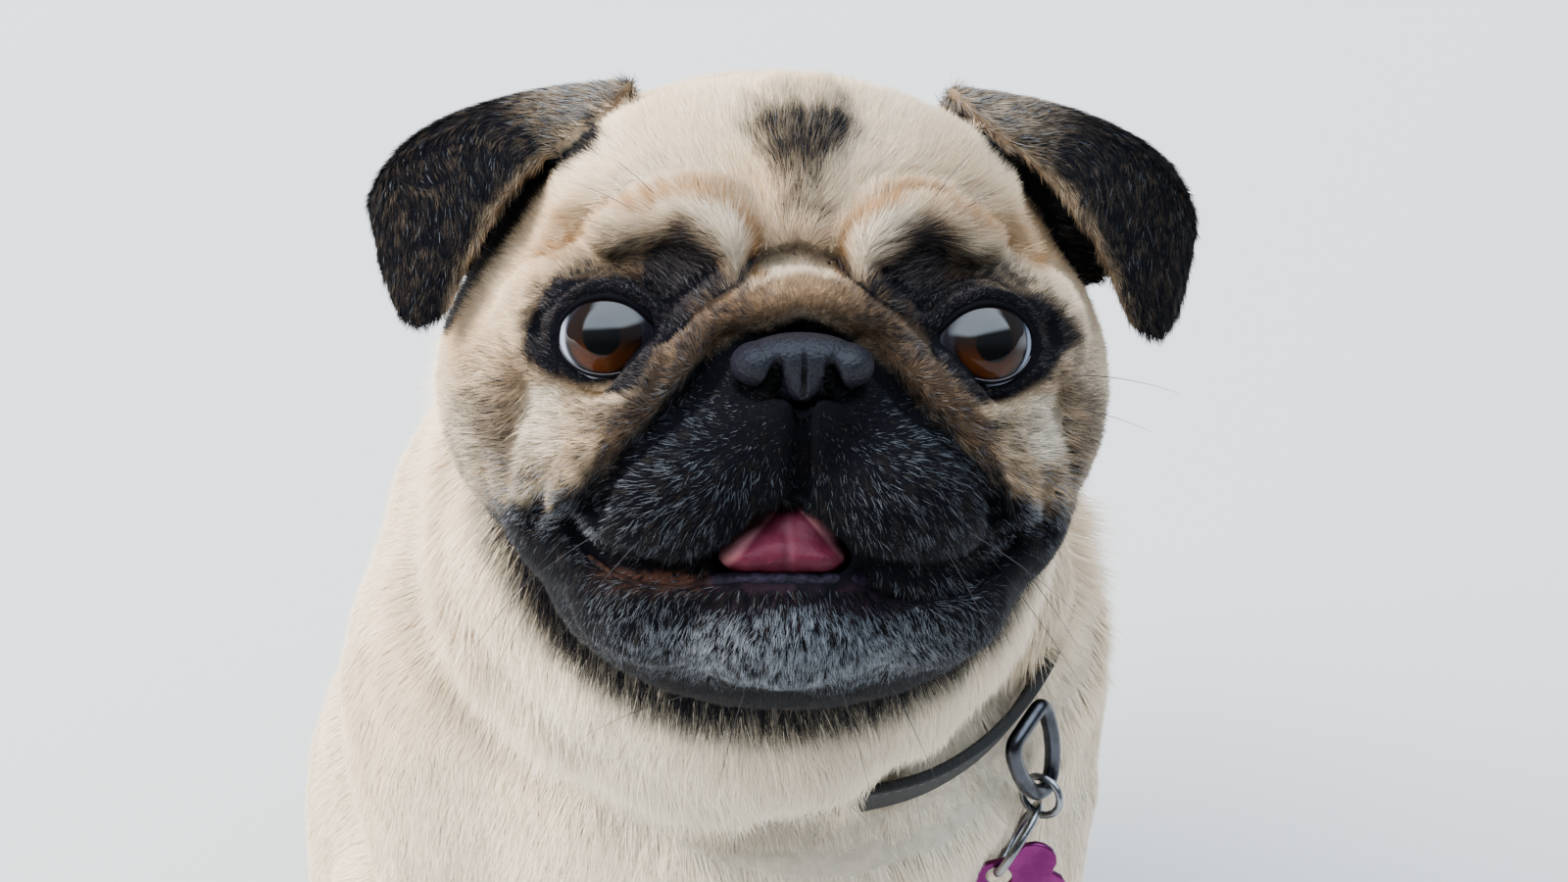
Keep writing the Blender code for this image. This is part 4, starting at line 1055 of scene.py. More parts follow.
def coat_fields():
    """Length, width, lift, share and direction at each place, smoothed so that no seam shows."""
    looks = np.array([LOOKS[kind] for kind in skin_kinds])
    own = in_head(skin_points)
    on_head = np.isin(skin_kinds, ("head", "jaw"))
    x, y, z = np.abs(own[:, 0]), own[:, 1], own[:, 2]
    short = np.maximum(spot(x, z, (35, 0), (17, 15), 0.5), inside(x, z, MASK, 5))
    short = np.maximum(short, along_line(x, z, [(a, b) for a, b, _ in NOSE_ROLL], 7))
    short = short * on_head * (1 - step(y, 30, 45))
    looks[:, LENGTH] *= 1 - 0.42 * short
    looks[:, WIDTH] *= 1 - 0.25 * short
    looks[:, SHARE] *= 1 + 0.5 * short
    eye_near, nose_near = near_eyes_and_nose(own)
    tight = np.minimum(step(nose_near, 11, 26), step(eye_near, 10, 22))
    looks[:, LENGTH] *= np.where(on_head, 0.32 + 0.68 * tight, 1)
    looks[:, WIDTH] *= np.where(on_head, 0.7 + 0.3 * tight, 1)
    back_of_head = on_head * step(y, 30, 60)
    looks[:, LENGTH] *= 1 + 0.8 * back_of_head
    looks[:, WIDTH] *= 1 + 0.25 * back_of_head
    looks[:, SHARE] *= 1 - 0.45 * back_of_head
    belly = (skin_kinds == "torso") & (skin_normals[:, 2] < -0.6)
    looks[belly, SHARE] *= 0.45
    looks = relaxed(looks, skin_edges, 0.5, 25)
    # the coat is pressed down under what hangs on the chest and under the strap
    tree = tree_of_nodes("collar", "collar_ring", "small_ring", "split_ring", "tag")
    reach = np.array([tree.find_nearest(Vector(point), 0.03)[3] or 0.03 for point in skin_points]) / MM
    high, _ = from_strap(skin_points)
    over_strap = step(high, 4 * MM, 6 * MM) * (1 - step(high, 13 * MM, 20 * MM))
    over_strap = over_strap * (1 - strap_shown(skin_points))
    over_strap = over_strap * (skin_kinds == "neck") * (1 - 0.6 * step(skin_points[:, 1], -10 * MM, 30 * MM))
    press = (1 - step(reach, 4, 11)) * (1 - over_strap)
    looks[:, LENGTH] *= (1 - 0.4 * press) * (1 + 0.8 * over_strap)
    looks[:, LIFT] *= (1 - 0.45 * press) * (1 + 1.3 * over_strap)
    looks[:, SHARE] *= 1 + 1.0 * over_strap
    flow = coat_flow(skin_points, skin_kinds)
    flow = flow - skin_normals * (flow * skin_normals).sum(1, keepdims=True)
    flow = relaxed(unit(flow), skin_edges, 0.5, 12)
    return looks, flow


looks, flow = coat_fields()

# The coat is laid in these pieces, each with its count of tufts.
PIECES = {"coat_muzzle": 182000, "coat_brow": 182000, "coat_crown": 182000, "coat_neck": 190000,
          "coat_chest": 190000, "coat_back": 194000, "coat_forelegs": 150000, "coat_hind": 194000}


def piece_of_faces():
    """The piece of the coat that each face of the skin carries."""
    centre = skin_points[skin_faces].mean(1)
    own = in_head(centre)
    kinds = skin_kinds[skin_faces[:, 0]]
    head = np.isin(kinds, ("head", "jaw"))
    names = np.full(len(centre), "coat_hind", dtype="<U16")
    front = np.where(own[head, 2] > -4, "coat_brow", "coat_muzzle")
    names[head] = np.where(own[head, 1] > 36, "coat_crown", front)
    names[kinds == "ear"] = "coat_crown"
    names[kinds == "neck"] = "coat_neck"
    torso = kinds == "torso"
    names[torso] = np.where(centre[torso, 1] < -20 * MM, "coat_chest", "coat_back")
    names[np.isin(kinds, ("foreleg", "forepaw"))] = "coat_forelegs"
    return names


def unwrap(faces):
    """Lays part of the skin flat and gives the place of each face's corners on that map."""
    used, compact = np.unique(faces, return_inverse=True)
    part = from_arrays("flat", skin_points[used], compact.reshape(-1, 3))
    edit_all(part, lambda: bpy.ops.uv.smart_project(
        angle_limit=math.radians(66), island_margin=0.002, scale_to_bounds=True))
    flat = np.empty(len(faces) * 6, np.float32)
    part.data.uv_layers.active.uv.foreach_get("vector", flat)
    bpy.data.objects.remove(part)
    return flat.reshape(-1, 3, 2)


def bare_places(points, kinds):
    """Places where no coat grows: the eyes, the nose leather, the lips and the pads."""
    own = in_head(points)
    on_head = np.isin(kinds, ("head", "jaw"))
    bare = np.zeros(len(points), bool)
    for sign in SIDES.values():
        eye = carried(points, eye_place(sign).inverted()) / MM
        across = lid_reach(eye[:, 0], eye[:, 2], sign)
        bare |= on_head & (across < 1.1) & (np.linalg.norm(eye, axis=1) < 14)
    nose = np.hypot(own[:, 0] / 12.3, (own[:, 2] + 4.3) / 6.2) < 1
    nose |= (np.abs(own[:, 0]) < 4.6) & (own[:, 2] < -4) & (own[:, 2] > -12.5)
    nose |= (np.abs(own[:, 0]) < 0.5) & (own[:, 2] < -4) & (own[:, 2] > -31)
    bare |= on_head & nose & (own[:, 1] < 4)
    arch = 14.5 * np.clip((-30 - own[:, 2]) / 9, 0, 1) ** 0.8
    mouth = (np.abs(own[:, 0] + 1.6) < arch) & (own[:, 2] > -46.2)
    bare |= on_head & mouth & (own[:, 1] < 10)
    bare |= points[:, 2] < 0.4 * MM
    return bare


COAT_SEED = 100
TUFT_PATCH = 0.0015
SPARE = 1.08  # spots drawn for each tuft, because some fall on bare places
CELL_CODE = np.array([73856093, 19349663, 83492791])


def in_cells(points, size):
    """Uneven cells over the skin: the warped points, the cell each lies in, and a number for that cell."""
    warped = points + np.stack([ripple(points, 0.012, 30 + k) for k in range(3)], 1) * 1.5 * MM
    grid = np.floor(warped / size).astype(np.int64)
    return warped, grid, (grid * CELL_CODE).sum(1)


def scatter(count, faces, draws):
    """Roots spread over the faces by area and share: face, weights, corners, point and kind of each."""
    a, b, c = (skin_points[faces[:, k]] for k in range(3))
    area = np.linalg.norm(np.cross(b - a, c - a), axis=1) / 2
    share = area * looks[faces, SHARE].mean(1)
    total = np.cumsum(share)
    drawn = int(count * SPARE)
    spots = (np.arange(drawn) + draws.random(drawn)) / (count * SPARE) * total[-1]
    face = np.minimum(np.searchsorted(total, spots), len(faces) - 1)
    u, v = draws.random((2, len(face)))
    over = u + v > 1
    u[over], v[over] = 1 - u[over], 1 - v[over]
    weight = np.stack([1 - u - v, u, v], 1)[..., None]
    corner = faces[face]
    roots = (skin_points[corner] * weight).sum(1)
    kinds = skin_kinds[corner[:, 0]]
    keep = np.where(~bare_places(roots, kinds))[0]
    if len(keep) > count:
        keep = np.sort(draws.choice(keep, count, replace=False))
    return [values[keep] for values in (face, weight, corner, roots, kinds)]


def colour_coat(obj, roots, middles, kinds, draws):
    """Each hair takes the markings under its middle, mixed so that a soft edge is one of single hairs."""
    # hairs of one lock share their colour, so that the marks break up in streaks
    lock = np.sin(in_cells(roots, 1.3 * MM)[2] * 0.00137) * 43758.5453 % 1
    marks = markings(middles, kinds)
    mixed = draws.normal(size=len(roots)) * 0.55 + (lock - 0.5) * 1.9
    mixed = marks[:, DARK] + mixed * marks[:, DARK] * (1.02 - marks[:, DARK])
    marks[:, DARK] = np.clip(mixed, 0, 1)
    for column, spread in ((WARM, 0.06), (PALE, 0.12)):
        marks[:, column] = np.clip(marks[:, column] + draws.normal(size=len(roots)) * spread, 0, 1)
    # some hairs turn bluish grey, most at their tips: grey hair, and a painted sheen on the black muzzle hair
    grey_and_sheen_hairs = draws.random(len(roots)) < marks[:, GREY] * (0.25 + 1.9 * lock ** 1.5)
    grey_and_sheen_amount = grey_and_sheen_hairs * draws.uniform(0.15, 0.35 + 0.65 * marks[:, GREY], len(roots))
    spread = np.where(np.isin(kinds, ("head", "jaw", "ear")), 0.22, 0.13)
    tone = 0.5 + draws.normal(size=len(roots)) * spread + ripple(roots, 0.01, 40) * 0.08
    store_colours(obj, "marks", np.repeat(marks, 3, axis=0))
    ends = np.tile([0.0, 0.0, 1.0], len(roots))
    tone, grey_and_sheen_amount = np.repeat(np.clip(tone, 0, 1), 3), np.repeat(grey_and_sheen_amount, 3) * (0.25 + 0.75 * ends)
    store_colours(obj, "tuft", np.stack([tone, ends, grey_and_sheen_amount, np.ones(len(ends))], 1))


def lay_coat(name, count, faces, seed):
    """One piece of the coat: narrow blades, rooted in the skin, that lie along the flow."""
    draws = np.random.default_rng(seed)
    wide = 1.0
    face, weight, corner, roots, kinds = scatter(count, faces, draws)
    normal = unit((skin_normals[corner] * weight).sum(1))
    look = (looks[corner] * weight).sum(1)
    way = (flow[corner] * weight).sum(1)
    way = unit(way - normal * (way * normal).sum(1, keepdims=True))
    side = np.cross(normal, way)
    swirl = ripple(roots, 0.022, 21) * 0.22 + draws.normal(size=len(roots)) * 0.17
    way = way * np.cos(swirl)[:, None] + side * np.sin(swirl)[:, None]
    side = np.cross(normal, way)
    length = look[:, LENGTH] * MM * draws.uniform(0.7, 1.2, len(roots))
    width = look[:, WIDTH] * MM * draws.uniform(0.75, 1.25, len(roots)) * wide
    lift = np.radians(look[:, LIFT]) * (1 + draws.normal(size=len(roots)) * 0.3)
    lift = np.clip(lift, 0.01, 0.7)
    # neighbours lean together into clumps
    cell = (3.2 * MM + 0.25 * look[:, LENGTH] * MM)[:, None].round(4)
    warped, grid, code = in_cells(roots, cell)
    jitter = np.stack([np.sin(code * f) for f in (0.013, 0.0271, 0.0392)], 1) * 0.5 + 0.5
    clump = (grid + jitter) * cell + way * length[:, None] - warped
    clump -= normal * (clump * normal).sum(1, keepdims=True)
    on_face = np.isin(kinds, ("head", "jaw", "ear"))
    pull = clump * np.where(on_face, 0.24, 0.15)[:, None]
    roll = draws.normal(size=len(roots)) * 0.3
    side = side * np.cos(roll)[:, None] + normal * np.sin(roll)[:, None]
    tip = roots + way * (length * 0.95)[:, None] + normal * (np.sin(lift) * 0.75 * length)[:, None]
    tip += pull - way * (pull * way).sum(1, keepdims=True)
    # no hair lies across the strap where it shows
    high, out = from_strap(tip)
    shown = strap_shown(tip) > draws.uniform(0.15, 0.85, len(tip))
    clear = ~(shown & (high > -3 * MM) & (high < 7 * MM) & (out > -1 * MM))
    face, weight, roots, kinds, normal, way, side, length, width, tip = (
        values[clear] for values in (face, weight, roots, kinds, normal, way, side, length, width, tip))
    half = side * (width / 2)[:, None]
    low = roots - normal * 0.25 * MM
    points = np.stack([low + half, low - half, tip], 1).reshape(-1, 3)
    points[:, 2] = np.maximum(points[:, 2], 0.2 * MM)
    blades = np.arange(len(roots) * 3).reshape(-1, 3)
    obj = from_arrays(name, points, blades)
    colour_coat(obj, roots, roots + way * (length * 0.5)[:, None], kinds, draws)
    # each tuft is a small patch at its root's place on an unwrap of the skin
    place = (unwrap(faces)[face] * weight).sum(1)
    spread = np.array([[-1, -0.7], [1, -0.7], [0, 1]]) * TUFT_PATCH
    patch = place[:, None] + spread[None]
    layer = obj.data.uv_layers.new(name="OFBake")
    layer.uv.foreach_set("vector", patch.reshape(-1, 2)[blades.ravel()].astype(np.float32).ravel())
    lean = unit(normal + side * (draws.normal(size=len(roots)) * 0.18)[:, None])
    obj.data.normals_split_custom_set_from_vertices(np.repeat(lean, 3, axis=0))
    return obj


coat = coat_finish("coat", True)
face_pieces = piece_of_faces()
for order, (name, count) in enumerate(PIECES.items()):
    region = skin_faces[face_pieces == name]
    dress(lay_coat(name, count, region, COAT_SEED + order), coat, "fawn coat", *FLESH)


# The eyes

def make_eye(side, sign):
    bpy.ops.mesh.primitive_uv_sphere_add(segments=64, ring_count=40, radius=1)
    obj = bpy.context.object
    place = eye_place(sign)
    settle(obj, f"eyeball_{side}", Matrix.Rotation(math.radians(90), 4, "X"))
    points = points_of(obj)
    cornea = step(-points[:, 1], 0.80, 0.97)
    set_points(obj, points * (1 + 0.03 * cornea)[:, None] * EYE_RADIUS)
    obj.data.transform(place)
    obj.data.update()
    obj.data.shade_smooth()
    finish = Finish(f"eye {side}", roughness=0.04, ior=1.4, specular_ior_level=0.05,
                    coat_weight=1.0, coat_roughness=0.01, coat_ior=1.6)
    x, _, z = finish.axes(place, EYE_RADIUS)
    reach = (x * x + z * z) ** 0.5
    streak = finish.noise(finish.vector("NORMALIZE", finish.away_from(place)), 16.0, 4.0)
    # the iris darker towards the top, painted shade under the upper lid, and amber lower down
    brown = finish.mix((0.0 - z).ramp(-0.05, 0.62), (0.006, 0.003, 0.002), (0.060, 0.016, 0.004))
    brown = finish.mix((streak - 0.45) * 1.4, brown, (0.014, 0.005, 0.002))
    brown = finish.mix(reach.ramp(0.56, 0.67), brown, (0.006, 0.003, 0.003))
    outer = (x * sign * 0.8 - z * 0.6).ramp(0.25, 0.62)
    white = finish.mix(reach.ramp(0.68, 0.76) * outer, (0.010, 0.009, 0.012), (0.26, 0.29, 0.36))
    white = finish.mix(reach.ramp(0.78, 0.88), white, (0.03, 0.03, 0.04))
    colour = finish.mix(reach.ramp(0.65, 0.69), brown, white)
    colour = finish.mix(1 - reach.ramp(0.31, 0.37), colour, (0.0015, 0.0015, 0.0015))
    gloss = (1 - reach.ramp(0.62, 0.80) * 0.85) * (z.ramp(-0.16, 0.10) * 0.8 + 0.2)
    finish.set(Base_Color=colour, Coat_Weight=gloss)
    dress(obj, finish, "eye", f"eye_{side}")


def mottled(name, scale, dark, light, **constants):
    """A finish of two tones, run together by noise."""
    finish = Finish(name, **constants)
    finish.set(Base_Color=finish.mix(finish.noise(finish.place(), scale), dark, light))
    return finish


lid_leather = mottled("lid rim", 700.0, (0.001, 0.001, 0.0015), (0.004, 0.0035, 0.005),
                      roughness=0.8, specular_ior_level=0.06)
wet_edge = mottled("wet edge of the lid", 500.0, (0.006, 0.005, 0.006), (0.03, 0.024, 0.03),
                   roughness=0.12, coat_weight=0.6)


def make_lid(side, sign):
    """The bare black rim of the lids, a ring on the eyeball round its opening, and its wet lower edge."""
    for name, finish, size, inset, start, end in (("lid_rim", lid_leather, 0.42, 1.02, 0, 2 * math.pi),
                                                  ("wet_edge", wet_edge, 0.2, 0.965, -2.9, -0.3)):
        whole = name == "lid_rim"
        angles = np.linspace(start, end, 96, endpoint=not whole)
        x, z = EYE_OPENING[0] * np.cos(angles), EYE_OPENING[1] * np.sin(angles)
        scale = inset / lid_reach(x, z, sign)
        x, z = x * scale, z * scale
        y = -np.sqrt(np.maximum((11.05 if whole else 10.95) ** 2 - x ** 2 - z ** 2, 3))
        path = carried(np.stack([x, y, z], 1) * MM, eye_place(sign))
        width = (size + 0.16 * np.sin(angles) * whole) * MM
        outwards = np.array(eye_place(sign).to_3x3().col[1])
        ring = tube(f"{name}_{side}", path, width, 12, closed=whole, up=outwards)
        dress(ring, finish, "black mask", "head")


for side, sign in SIDES.items():
    make_eye(side, sign)
    make_lid(side, sign)


# The nose leather

# Each nostril is a deep hole beside the middle that runs on outwards under the wing.
NOSTRIL = [(4.9, -20.5, -4.4, 1.2), (5.1, -20.5, -5.8, 1.7), (5.6, -20.5, -7.6, 2.0), (6.6, -20, -9.2, 1.8),
           (8.8, -19.5, -9.8, 1.3), (11.2, -18.5, -9.4, 1.0), (13.6, -17, -8.4, 0.7)]


def make_nose():
    forms = [ball((0, -20.2, -3.5), (11.4, 7.2, 5.0)), ball((0, -21.3, -6.4), (3.9, 5.2, 5.2)),
             ball((0, -16, -8.8), (10.5, 5.6, 3.6)), ball((0, -15, -4.8), (12, 7, 5.3))]
    for sign in SIDES.values():
        forms.append(ball((sign * 8.6, -20.4, -4.6), (4.9, 6.7, 4.3)))
    nose = one_surface(joined("nose_leather", forms), 0.42 * MM, 5)
    for sign in SIDES.values():
        rows = [(sign * x, y - depth, z, r) for x, y, z, r in smooth_line(NOSTRIL, 26) for depth in (0, 3, 6)]
        rows = np.array(rows) * MM
        hole = one_surface(beads("nostril", rows[:, :3], rows[:, 3]), 0.4 * MM, 1)
        cut = nose.modifiers.new("nostril", "BOOLEAN")
        cut.operation, cut.solver, cut.object = "DIFFERENCE", "EXACT", hole
        apply_modifiers(nose)
        bpy.data.objects.remove(hole)
    nose = one_surface(nose, 0.38 * MM, 5)
    points = points_of(nose) / MM
    groove = np.exp(-(points[:, 0] / 0.5) ** 2) * (1 - step(points[:, 2], -6, 0))
    groove = groove * step(points[:, 2], -11.5, -9.5) * (points[:, 1] < -16)
    points[:, 1] += 1.5 * groove
    set_points(nose, points * MM)
    nose.data.transform(HEAD)
    nose.data.update()
    finish = Finish("nose leather", roughness=0.5, specular_ior_level=0.26)
    where = finish.place()
    x, y, z = finish.axes(HEAD, MM)
    # black in the nostrils and down the middle groove: painted shade in the hollows
    beside = (1 - x.size().ramp(12.0, 13.2)) * x.size().ramp(3.2, 4.4)
    deep = y.ramp(-22.6, -20.8) * beside * (1 - z.ramp(-4.0, -2.6))
    deep = deep.most((1 - x.size().ramp(0.15, 0.5)) * (1 - z.ramp(-5.0, -3.0)))
    pebbles = finish.node("ShaderNodeTexVoronoi", {"feature": "F1"}, {"Vector": where, "Scale": 1300.0})
    grain = finish.noise(where, 900.0)
    skin_tone = finish.mix(grain, (0.003, 0.003, 0.005), (0.010, 0.010, 0.016))
    finish.set(Base_Color=finish.mix(deep, skin_tone, (0.001, 0.001, 0.001)))
    finish.set(Roughness=grain * 0.25 + 0.36)
    finish.bump(1 - pebbles, 0.0003, 0.7)
    dress(nose, finish, "nose leather", "nose")


make_nose()


# The tongue and the lips

def make_tongue():
    fill = [ball((-1.6, -3, -38.6), (12.5, 10.0, 7.2), HEAD), ball((0.4, -9, -36.8), (8.0, 9.0, 6.4), HEAD)]
    tongue = one_surface(joined("tongue_soft", [node_copy("tongue"), *fill]), 0.6 * MM)
    even = tongue.modifiers.new("even", "SMOOTH")
    even.factor, even.iterations = 0.5, 16
    apply_modifiers(tongue)
    points = in_head(points_of(tongue))
    groove = np.exp(-((points[:, 0] + 1.6) / 1.2) ** 2) * (points[:, 1] < 2)
    points[:, 1] += 0.7 * groove
    set_points(tongue, carried(points * MM, HEAD))
    finish = Finish("tongue", roughness=0.6, specular_ior_level=0.22, coat_weight=0.04, coat_roughness=0.3)
    x, _, z = finish.axes(HEAD, MM)
    specks = finish.noise(finish.place(), 1100.0, 2.0)
    edge = ((x + 1.6).size() / ((-30.0 - z).most(0.5) * 1.05)).ramp(0.78, 1.0)
    red = finish.mix(specks, (0.050, 0.003, 0.011), (0.090, 0.007, 0.020))
    red = finish.mix((1 - (x + 1.6).size().ramp(0.0, 1.4)) * 0.30, red, (0.20, 0.055, 0.075))
    finish.set(Base_Color=finish.mix(edge * 0.8, red, (0.34, 0.13, 0.135)))
    finish.bump(specks, 0.0003, 0.6)
    dress(tongue, finish, "tongue", "tongue")


def make_lips():
    """The bare lower lip: a broad dark band across the front of the jaw."""
    tree = surface_tree(skin)
    rows = smooth_line([(-40, -41.6), (-34, -45.4), (-28, -47.2), (-21, -47.3), (-17, -46.4), (-11, -45.6),
                        (-1.5, -45.6), (8, -45.5), (13, -45.2), (16.5, -45.8)], 110)
    front = step(rows[:, 0], -20, -14) * (1 - step(rows[:, 0], 12, 16.5))
    path = np.array([on_face(tree, x, z, 0.9 + 0.5 * f) for (x, z), f in zip(rows, front)])
    path = relaxed(path, np.stack([np.arange(len(path) - 1), np.arange(1, len(path))], 1), 0.5, 12)
    ripples = 1 + 0.03 * np.sin(rows[:, 0] * 1.3)
    lip = tube("lower_lip", path, (0.95 + 0.95 * front) * ripples * MM, 24, flat=0.7,
               up=np.array(HEAD.to_3x3().col[1]))
    finish = Finish("lip", roughness=0.5, specular_ior_level=0.12)
    x, _, z = finish.axes(HEAD, MM)
    grain = finish.noise(finish.place(), 520.0, 4.0)
    colour = finish.mix(grain.ramp(0.3, 0.75), (0.002, 0.002, 0.004), (0.018, 0.011, 0.024))
    colour = finish.mix((1 - z.ramp(-48.4, -46.8)) * 0.6, colour, (0.055, 0.024, 0.036))
    inner = finish.mix((grain - 0.35) * 1.6, (0.008, 0.005, 0.005), (0.06, 0.026, 0.018))
    finish.set(Base_Color=finish.mix(1 - x.ramp(-17.5, -15.0), colour, inner))
    finish.bump(grain, 0.0007, 0.8)
    dress(lip, finish, "black mask", "jaw")


make_tongue()
make_lips()


# Whiskers

WHISKERS = [  # x and z of the root on the face, the way it leaves in the head's frame, length in millimetres
    (-52, -34, (-0.55, 0.25, -0.75), 20), (-41, -36, (-0.75, 0.0, -0.75), 32),
    (-45, -44, (-0.55, 0.1, -0.8), 22), (-33, -34, (-0.95, 0.0, -0.5), 26),
    (-29, -37, (-0.8, -0.1, -0.8), 24),
    (-18, -70, (-1.0, 0.1, -0.25), 22), (31, -35, (0.95, 0.0, -0.5), 26), (36, -39, (0.8, 0.05, -0.85), 30),
    (42, -40, (0.75, 0.1, -0.8), 22), (27, -38, (0.6, -0.1, -0.9), 20), (53, -6, (1.0, 0.25, 0.05), 24),
    (51, -12, (1.0, 0.3, -0.05), 22), (-27, 21, (-0.85, -0.1, 0.6), 21), (-25, 24, (-0.65, -0.1, 0.75), 17),
    (-30, 19, (-0.95, 0.05, 0.4), 17), (27, 22, (0.75, -0.1, 0.65), 17), (24, 25, (0.5, -0.1, 0.85), 16),
    (-8, -66, (-0.3, 0.1, -1.0), 20), (10, -66, (0.35, 0.1, -1.0), 22), (20, -66, (0.6, 0.15, -1.0), 20)]


def make_whiskers():
    tree = surface_tree(skin)
    hairs = []
    for x, z, way, length in WHISKERS:
        root = np.array(on_face(tree, x, z, 0.8))
        way = unit(turned(np.array([way]), HEAD))[0]
        t = np.linspace(0, 1, 12)[:, None]
        drop = np.array([0, 0, -1.0]) * (t ** 2) * 0.22
        path = root + (way * t + drop) * length * MM
        hairs.append(tube("whisker", path, (0.13 - 0.10 * t[:, 0]) * MM, 5, up=(0.2, 1, 0.1)))
    finish = mottled("whisker", 60.0, (0.006, 0.005, 0.005), (0.025, 0.02, 0.018), roughness=0.35)
    dress(joined("whiskers", hairs), finish, "black mask", "head")


make_whiskers()


# The claws

TOES = [(-15.5, -9), (-5.6, -17), (5.6, -17), (15.5, -9)]
PAWS = {"forepaw_left": ((56, -62), 1.0, 2), "forepaw_right": ((-56, -62), 1.0, -2),
        "hind_paw_left": ((90, -14), 0.95, 6), "hind_paw_right": ((-90, -14), 0.95, -6)}


def make_claws():
    claws = []
    for (x0, y0), spread, turn in PAWS.values():
        place = Matrix.Translation(at_body(x0, y0, 0)) @ Matrix.Rotation(math.radians(turn), 4, "Z")
        for x, y in TOES:
            t = np.linspace(0, 1, 14)
            bend = np.stack([x * spread + 0 * t, y - 5.4 - 8.6 * t, 8.2 - 1.4 * t - 4.6 * t ** 2], 1)
            radii = 2.15 * (1 - t ** 2.2) ** 0.7 + 0.12
            claws.append(tube("claw", carried(bend * MM, place), radii * MM, 12, flat=1.15))
    finish = Finish("claw horn", roughness=0.3)
    rings = finish.noise(finish.place(), 380.0, 2.0)
    finish.set(Base_Color=finish.mix(rings, (0.012, 0.009, 0.008), (0.075, 0.055, 0.045)))
    finish.bump(rings, 0.0003, 0.4)
    dress(joined("claws", claws), finish, "black mask", *PAWS)


make_claws()


# The collar and what hangs from it

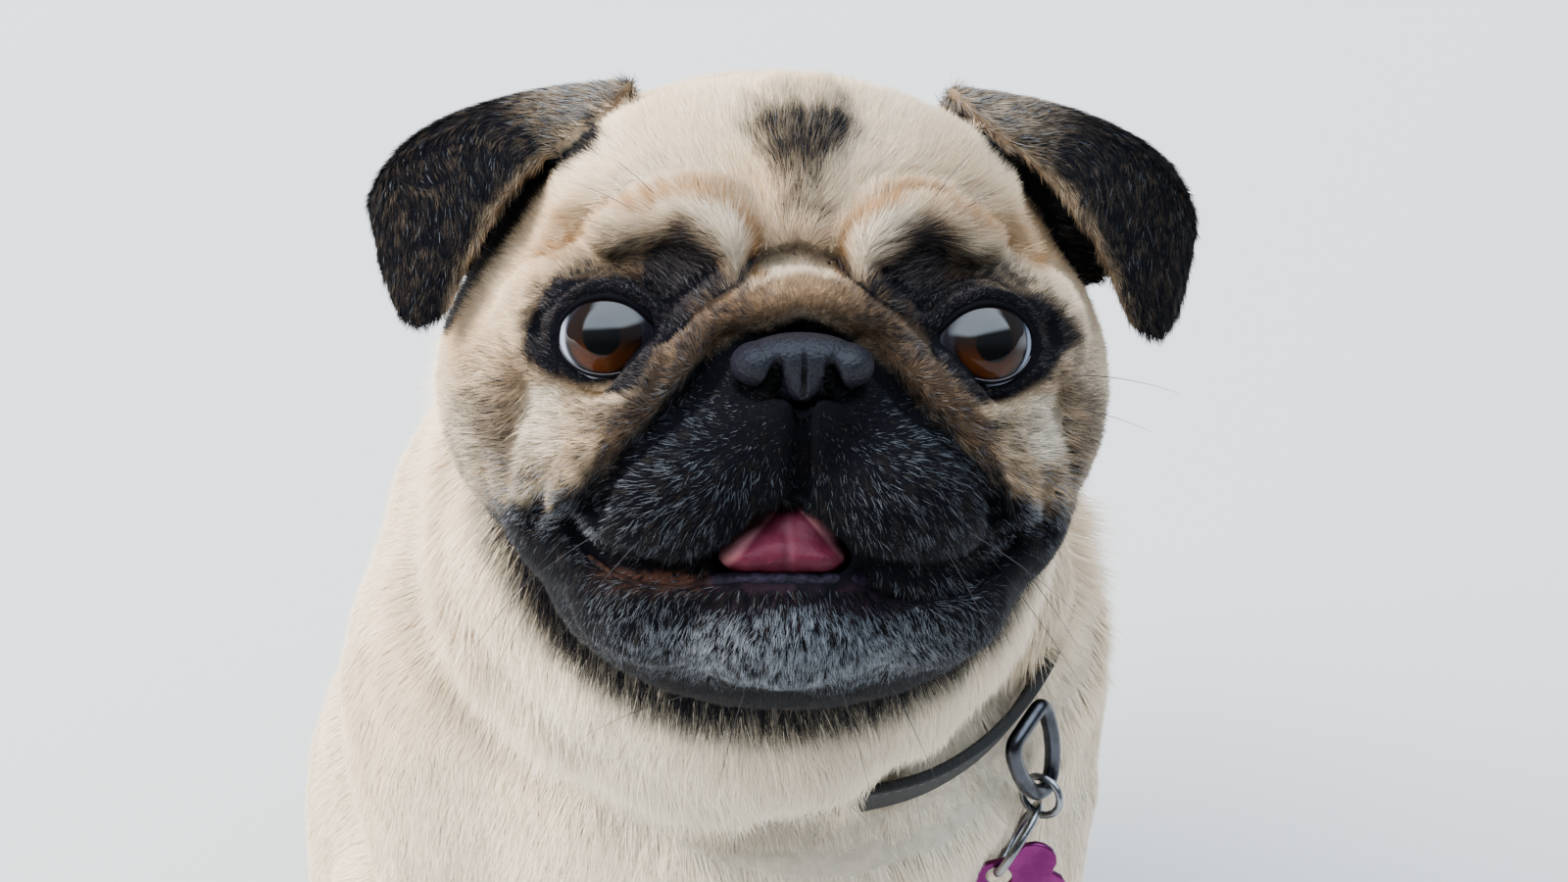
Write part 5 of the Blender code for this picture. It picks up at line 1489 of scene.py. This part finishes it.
def make_collar():
    middle, side, back, up, reach = STRAP_LINE
    count = STRAP_STEPS
    angles = np.arange(count) * 2 * math.pi / count
    ways = np.cos(angles)[:, None] * side + np.sin(angles)[:, None] * back
    wide, thick = STRAP[0] / 2 * MM, STRAP[1] / 2 * MM
    outline = [(thick * math.copysign(abs(math.cos(a)) ** 0.35, math.cos(a)),
                wide * math.copysign(abs(math.sin(a)) ** 0.35, math.sin(a)))
               for a in np.arange(20) * 2 * math.pi / 20 + 0.01]
    centre = middle + ways * (reach - thick)[:, None]
    points = np.stack([centre + ways * a + up * b for a, b in outline], 1).reshape(-1, 3)
    rows, k, sides = np.arange(count)[:, None], np.arange(20), 20
    a, b = rows * sides + k, rows * sides + (k + 1) % sides
    c, d = (rows + 1) % count * sides + (k + 1) % sides, (rows + 1) % count * sides + k
    faces = np.stack([a, b, c, d], -1).reshape(-1, 4)
    faces = faces if np.dot(np.cross(side, back), up) > 0 else faces[:, ::-1]
    strap = from_arrays("collar_strap", points, faces)
    edit_all(strap, lambda: bpy.ops.mesh.normals_make_consistent(inside=False))
    length = float(np.linalg.norm(centre - np.roll(centre, -1, 0), axis=1).sum()) / MM
    layer = strap.data.uv_layers.new(name="strap")
    loops = np.empty(len(strap.data.loops), np.int32)
    strap.data.loops.foreach_get("vertex_index", loops)
    u = (loops // sides) / count * length
    starts = u.reshape(-1, 4)
    wrap = (starts.max(1) - starts.min(1) > length / 2)
    starts[wrap] = np.where(starts[wrap] < length / 2, starts[wrap] + length, starts[wrap])
    v = np.array([b for _, b in outline])[loops % sides] / MM
    layer.uv.foreach_set("vector", np.stack([starts.ravel(), v], 1).astype(np.float32).ravel())
    finish = Finish("collar webbing", roughness=0.7)
    along, across, _ = finish.split(finish.node("ShaderNodeUVMap", {"uv_map": "strap"}))
    weave = (along * 5.2 + across * 2.6).sine() * (along * 5.2 - across * 2.6).sine()
    edge = across.size().ramp(3.9, 4.3) * (1 - across.size().ramp(4.7, 5.1))
    stitch = edge * (along * 2.1).sine().ramp(-0.2, 0.3)
    colour = finish.mix(weave.ramp(-0.6, 0.9), (0.004, 0.004, 0.004), (0.022, 0.021, 0.021))
    colour = finish.mix(stitch * 0.6, colour, (0.06, 0.057, 0.055))
    finish.set(Base_Color=colour)
    finish.bump(weave * 0.5 + stitch, 0.00035, 0.8)
    dress(strap, finish, "collar strap", "collar")


def metal(name, dark, light, rough):
    finish = Finish(name, metallic=1.0)
    where = finish.place()
    wear = finish.noise(where, 120.0)
    finish.set(Base_Color=finish.mix(wear.ramp(0.35, 0.7), dark, light), Roughness=wear * 0.15 + rough)
    finish.bump(finish.noise(where, 1400.0), 0.00008, 0.5)
    return finish


def round_wire(node, wire):
    """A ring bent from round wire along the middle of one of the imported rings."""
    middle, (a, b, axis), tree = ring_frame(node)
    path = []
    for angle in np.arange(96) * 2 * math.pi / 96:
        way = Vector(a * math.cos(angle) + b * math.sin(angle))
        outer = tree.ray_cast(Vector(middle) + way * 0.05, -way)[0]
        inner = tree.ray_cast(Vector(middle), way)[0]
        path.append(np.array(outer + inner) / 2)
    path = np.array(path)
    for _ in range(2):
        path = (np.roll(path, 1, 0) + 2 * path + np.roll(path, -1, 0)) / 4
    return tube(node + "_wire", path, wire * MM, 20, closed=True, up=axis)


def make_hangings():
    steel = metal("ring steel", (0.16, 0.16, 0.165), (0.34, 0.35, 0.37), 0.2)
    dark_steel = metal("dark ring steel", (0.03, 0.03, 0.034), (0.07, 0.073, 0.085), 0.2)
    for node, wire in (("collar_ring", 1.85), ("small_ring", 0.88), ("split_ring", 0.97)):
        ring = round_wire(node, wire)
        dress(ring, dark_steel if node == "collar_ring" else steel, "ring metal", node)
    tag = node_copy("tag")
    pick(tag)
    bevel = tag.modifiers.new("worn edge", "BEVEL")
    bevel.width, bevel.segments = 0.45 * MM, 3
    bevel.limit_method, bevel.angle_limit = "ANGLE", math.radians(50)
    apply_modifiers(tag)
    bpy.ops.object.shade_smooth_by_angle(angle=math.radians(35))
    tag.name = tag.data.name = "bone_tag"
    finish = metal("purple tag", (0.11, 0.012, 0.075), (0.20, 0.03, 0.135), 0.28)
    dress(tag, finish, "purple tag", "tag")


make_collar()
make_hangings()
